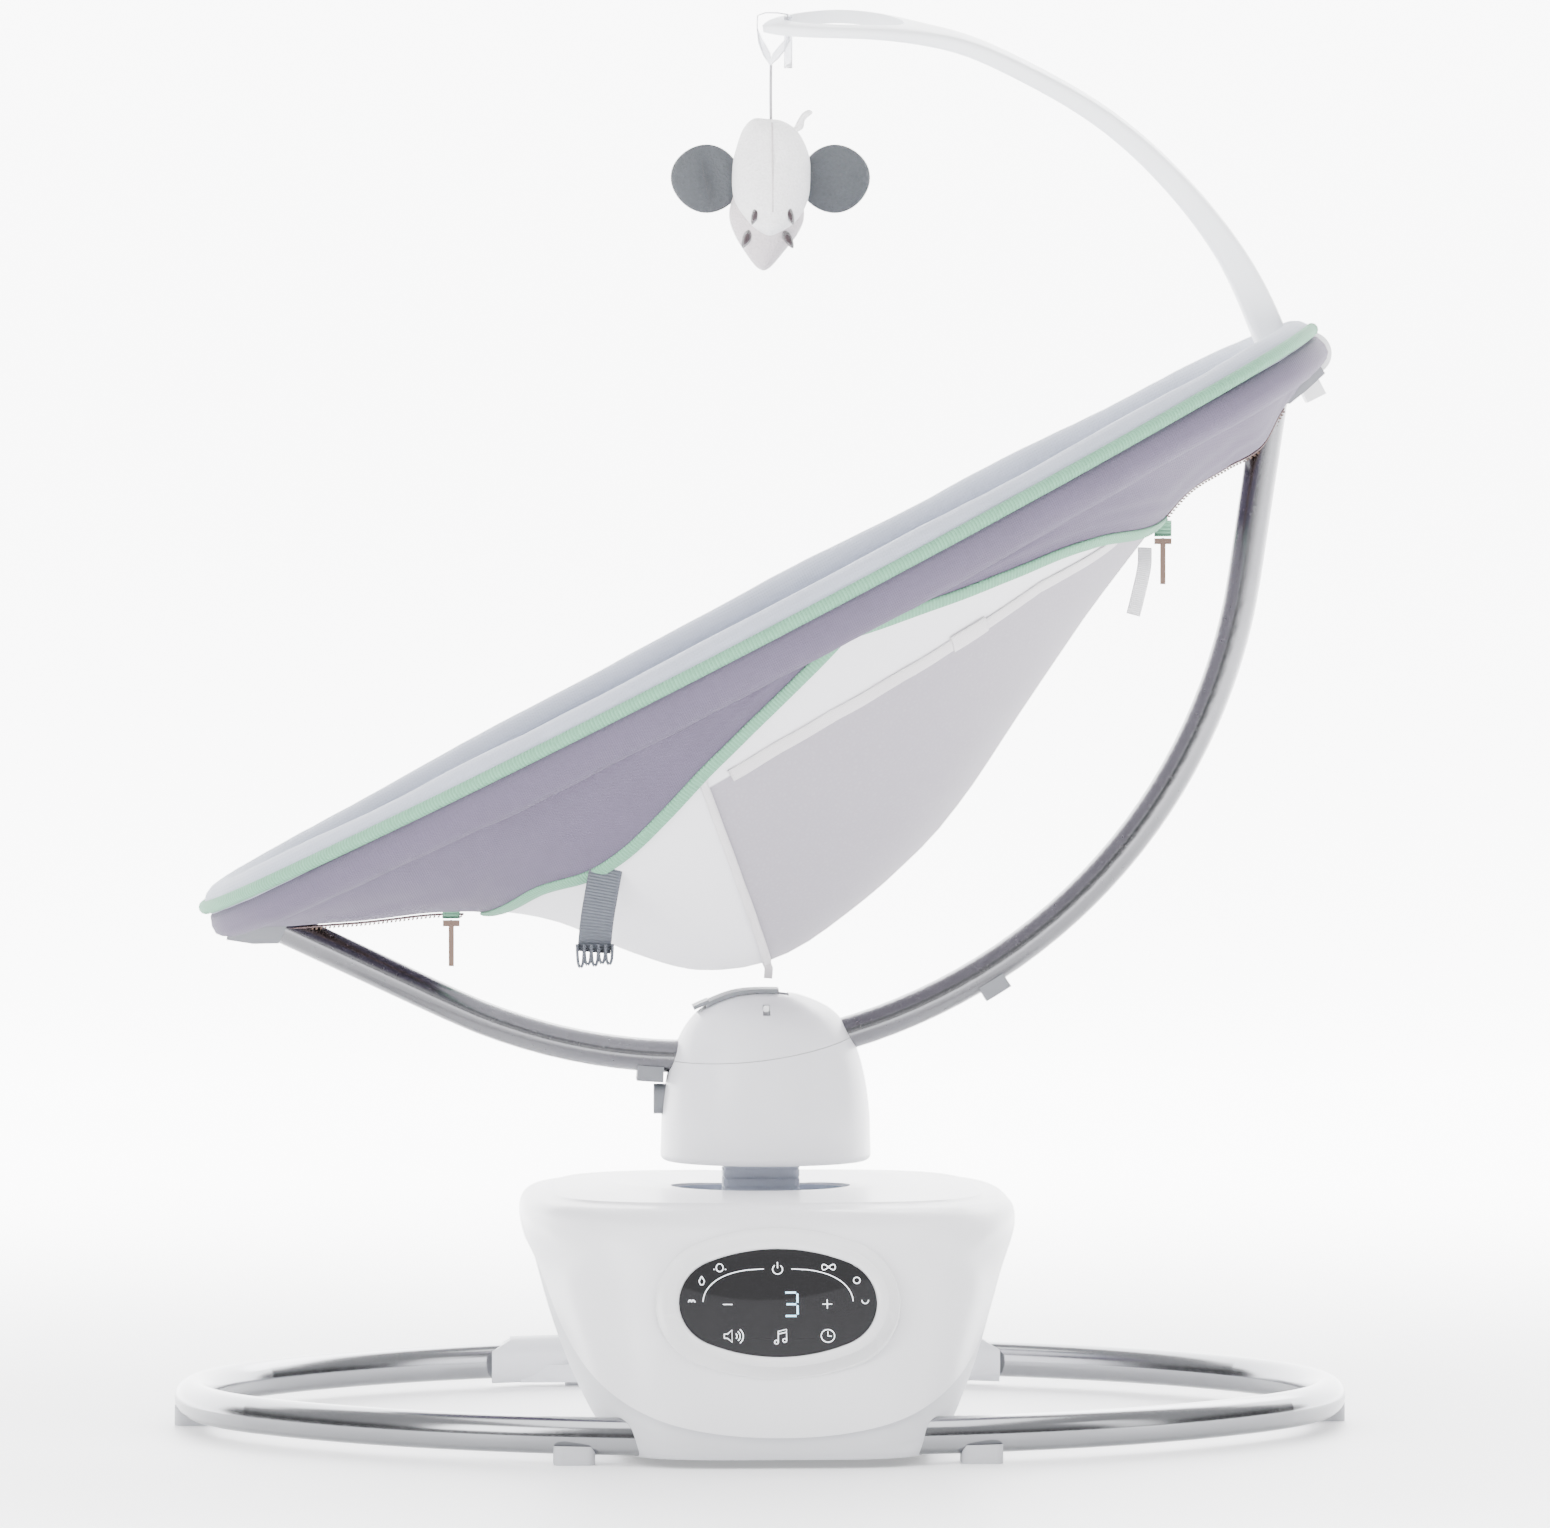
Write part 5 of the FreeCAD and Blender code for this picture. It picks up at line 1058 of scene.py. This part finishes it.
def icon_curve(name, strokes, radius, material):
    """Raised luminous lines on the lens; strokes are lists of (u, v) in millimetres."""
    curve = new_curve(name, radius, 1, material)
    for stroke in strokes:
        spline = curve.splines.new("POLY")
        spline.points.add(len(stroke) - 1)
        for point, (u, v) in zip(spline.points, stroke):
            point.co = (*panel_point(u / 1000, v / 1000, 0.0001), 1.0)
    piece = placed(name, curve)
    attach(piece, "base")


def round_stroke(u, v, radius, start=0, end=360, squeeze=1.0):
    steps = 20
    angles = [math.radians(start + (end - start) * k / steps) for k in range(steps + 1)]
    return [(u + radius * math.cos(angle), v + radius * squeeze * math.sin(angle)) for angle in angles]


def make_icons():
    """Generic symbols: power, plus, minus, sound, note, timer and five motion patterns."""
    strokes = [round_stroke(0, 20.5, 2.9, 125, 415), [(0, 21.2), (0, 25.0)]]
    strokes += [[(-32, -1), (-26.5, -1)], [(25.6, -1), (31.2, -1)], [(28.4, -3.8), (28.4, 1.8)]]
    strokes += [[(-31.5, -21.8), (-29.6, -21.8), (-27, -24.3), (-27, -16.7), (-29.6, -19.2), (-31.5, -19.2),
                 (-31.5, -21.8)]]
    strokes += [round_stroke(-26, -20.5, radius, -50, 50) for radius in (1.9, 3.7, 5.5)]
    strokes += [round_stroke(-1.4, -24.2, 1.1), round_stroke(3.4, -23.2, 1.1),
                [(-0.3, -24.2), (-0.3, -17.6), (4.5, -16.4), (4.5, -23.2)], [(-0.3, -19.3), (4.5, -18.1)]]
    strokes += [round_stroke(28.4, -20.5, 3.9), [(28.4, -17.9), (28.4, -20.7), (30.6, -20.7)]]
    strokes += [round_stroke(-33.5, 21.6, 2.0, 0, 360, 1.2)]
    strokes += [[(-37.2, 20.6), (-36.4, 20.6)], [(-30.6, 20.6), (-29.8, 20.6)]]
    strokes += [[(-44, 16.4), (-45.6, 13.4), (-44.8, 11.2), (-43.2, 11.2), (-42.4, 13.4), (-44, 16.4)]]
    strokes += [[(-52 + k * 0.25, 0.4 + 1.4 * abs(math.sin(k * 0.42))) for k in range(17)]]
    strokes += [[(29.6 + 3.9 * math.sin(a), 21.8 + 1.7 * math.sin(2 * a))
                 for a in [math.pi * k / 14 for k in range(29)]]]
    strokes += [round_stroke(45.8, 13.6, 1.9), round_stroke(50.4, 1.4, 1.9, 180, 360, 1.1)]
    bow = [math.radians(2 + 6.6 * k) for k in range(12)]
    strokes += [[(-43.5 * math.cos(a) ** 0.7, 21.0 * math.sin(a)) for a in bow] + [(-8, 20.8)]]
    strokes += [[(-u, v) for u, v in strokes[-1]]]
    icon_curve("panel_icons", strokes, 0.00028, glowing("icon_light", linear(240, 243, 248), 2.2))
    left, right, low, high = 4.2, 11.2, -8.2, 6.2
    middle = (low + high) / 2
    digit = [[(left, high), (right - 0.8, high)], [(left + 0.6, middle), (right - 0.8, middle)],
             [(left, low), (right - 0.8, low)], [(right, high - 0.8), (right, middle + 0.8)],
             [(right, middle - 0.8), (right, low + 0.8)]]
    icon_curve("panel_digit", digit, 0.00062, glowing("digit_light", linear(176, 222, 246), 2.6))


# ------------ stage, light and camera

FLOOR_HALF = 9.0
BEND_FROM, BEND_RADIUS = 3.2, 1.6       # where the floor turns up behind the object
WALL_TOP = 7.0
CAMERA_PLACE = (-0.2635, -6.494, 0.621)
CAMERA_TARGET = (0.0087, 0.0, 0.396)
SENSOR, FOCAL = 36, 251.6               # millimetres
LIT_SPOT = (0.0, 0.0, 0.4)
# name, place, size, watts
LIGHTS = [("top_soft", (0.0, -0.6, 3.0), (3.4, 2.6), 120),
          ("left_key", (-2.8, -2.4, 1.9), (1.4, 2.2), 90),
          ("right_strip", (2.9, -1.2, 1.3), (0.6, 2.2), 12),
          ("front_fill", (0.6, -4.6, 1.6), (2.6, 1.4), 20),
          ("back_rim", (1.2, 2.6, 2.2), (2.4, 1.0), 60)]


def make_stage():
    """Pale floor that turns up into a backdrop behind the object; its glow dims near the object as a painted
    shadow.
    """
    profile = [(-FLOOR_HALF, 0.0), (BEND_FROM, 0.0)]
    for k in range(1, 13):
        angle = math.pi / 2 * k / 12
        rise = BEND_RADIUS - BEND_RADIUS * math.cos(angle)
        profile.append((BEND_FROM + BEND_RADIUS * math.sin(angle), rise))
    profile.append((BEND_FROM + BEND_RADIUS, WALL_TOP))
    points = [(x, y, z) for y, z in profile for x in (-FLOOR_HALF, FLOOR_HALF)]
    mesh = bpy.data.meshes.new("floor")
    mesh.from_pydata(points, [], [(2 * k, 2 * k + 1, 2 * k + 3, 2 * k + 2) for k in range(len(profile) - 1)])
    mesh.polygons.foreach_set("use_smooth", [True] * len(mesh.polygons))
    floor = placed("floor", mesh)
    paint = Paint("floor_white", (0.86, 0.86, 0.87), Emission_Color=(1.0, 1.0, 1.0, 1.0))
    paint.tint(paint.noise(1.2, 2), 0.99, 1.005)
    paint.worn(paint.noise(3, 2), 0.40, 0.50)
    # painted shadow: the floor glows dimly near the object and brightly far from it
    paint.glow_with_painted_shadow(0.25, 2.1, 0.4, 6.5)
    mesh.materials.append(paint.material)


def make_world():
    """Studio surroundings: bright above, darker at the height of the walls."""
    world = bpy.data.worlds.new("studio")
    bpy.context.scene.world = world
    world.use_nodes = True
    nodes, links = world.node_tree.nodes, world.node_tree.links
    split = nodes.new("ShaderNodeSeparateXYZ")
    links.new(nodes.new("ShaderNodeTexCoord").outputs["Generated"], split.inputs[0])
    ramp = nodes.new("ShaderNodeValToRGB")
    stops = [(0.0, 0.5), (0.42, 0.3), (0.50, 0.06), (0.60, 0.12), (0.74, 0.75), (1.0, 0.9)]
    span = nodes.new("ShaderNodeMapRange")
    span.inputs["From Min"].default_value = -1.0
    links.new(split.outputs["Z"], span.inputs["Value"])
    links.new(span.outputs["Result"], ramp.inputs["Fac"])
    for position, _value in stops[1:-1]:
        ramp.color_ramp.elements.new(position)
    for element, (position, value) in zip(ramp.color_ramp.elements, stops):
        element.position = position
        element.color = (value, value, value * 1.02, 1.0)
    links.new(ramp.outputs["Color"], nodes["Background"].inputs["Color"])


def aim_from(obj, place, target):
    obj.location = place
    obj.rotation_euler = (Vector(target) - Vector(place)).to_track_quat("-Z", "Y").to_euler()


def add_light(name, place, size, energy):
    lamp = bpy.data.lights.new(name, "AREA")
    lamp.shape = "RECTANGLE"
    lamp.size, lamp.size_y = size
    lamp.energy = energy
    aim_from(placed(name, lamp), place, LIT_SPOT)


def make_camera():
    camera = bpy.data.cameras.new("camera")
    camera.sensor_fit = "HORIZONTAL"
    camera.sensor_width = SENSOR
    camera.lens = FOCAL
    camera.clip_end = 60
    obj = placed("camera", camera)
    aim_from(obj, CAMERA_PLACE, CAMERA_TARGET)
    bpy.context.scene.camera = obj


make_camera()
make_toy_cord()
paint_cad_nodes()
make_rim()
make_hammock()
make_liner()
make_panels()
make_seams()
make_zips()
make_zip_ends()
make_straps()
make_toy()
make_toy_strap()
make_bezel()
make_icons()
make_stage()
make_world()
for light in LIGHTS:
    add_light(*light)
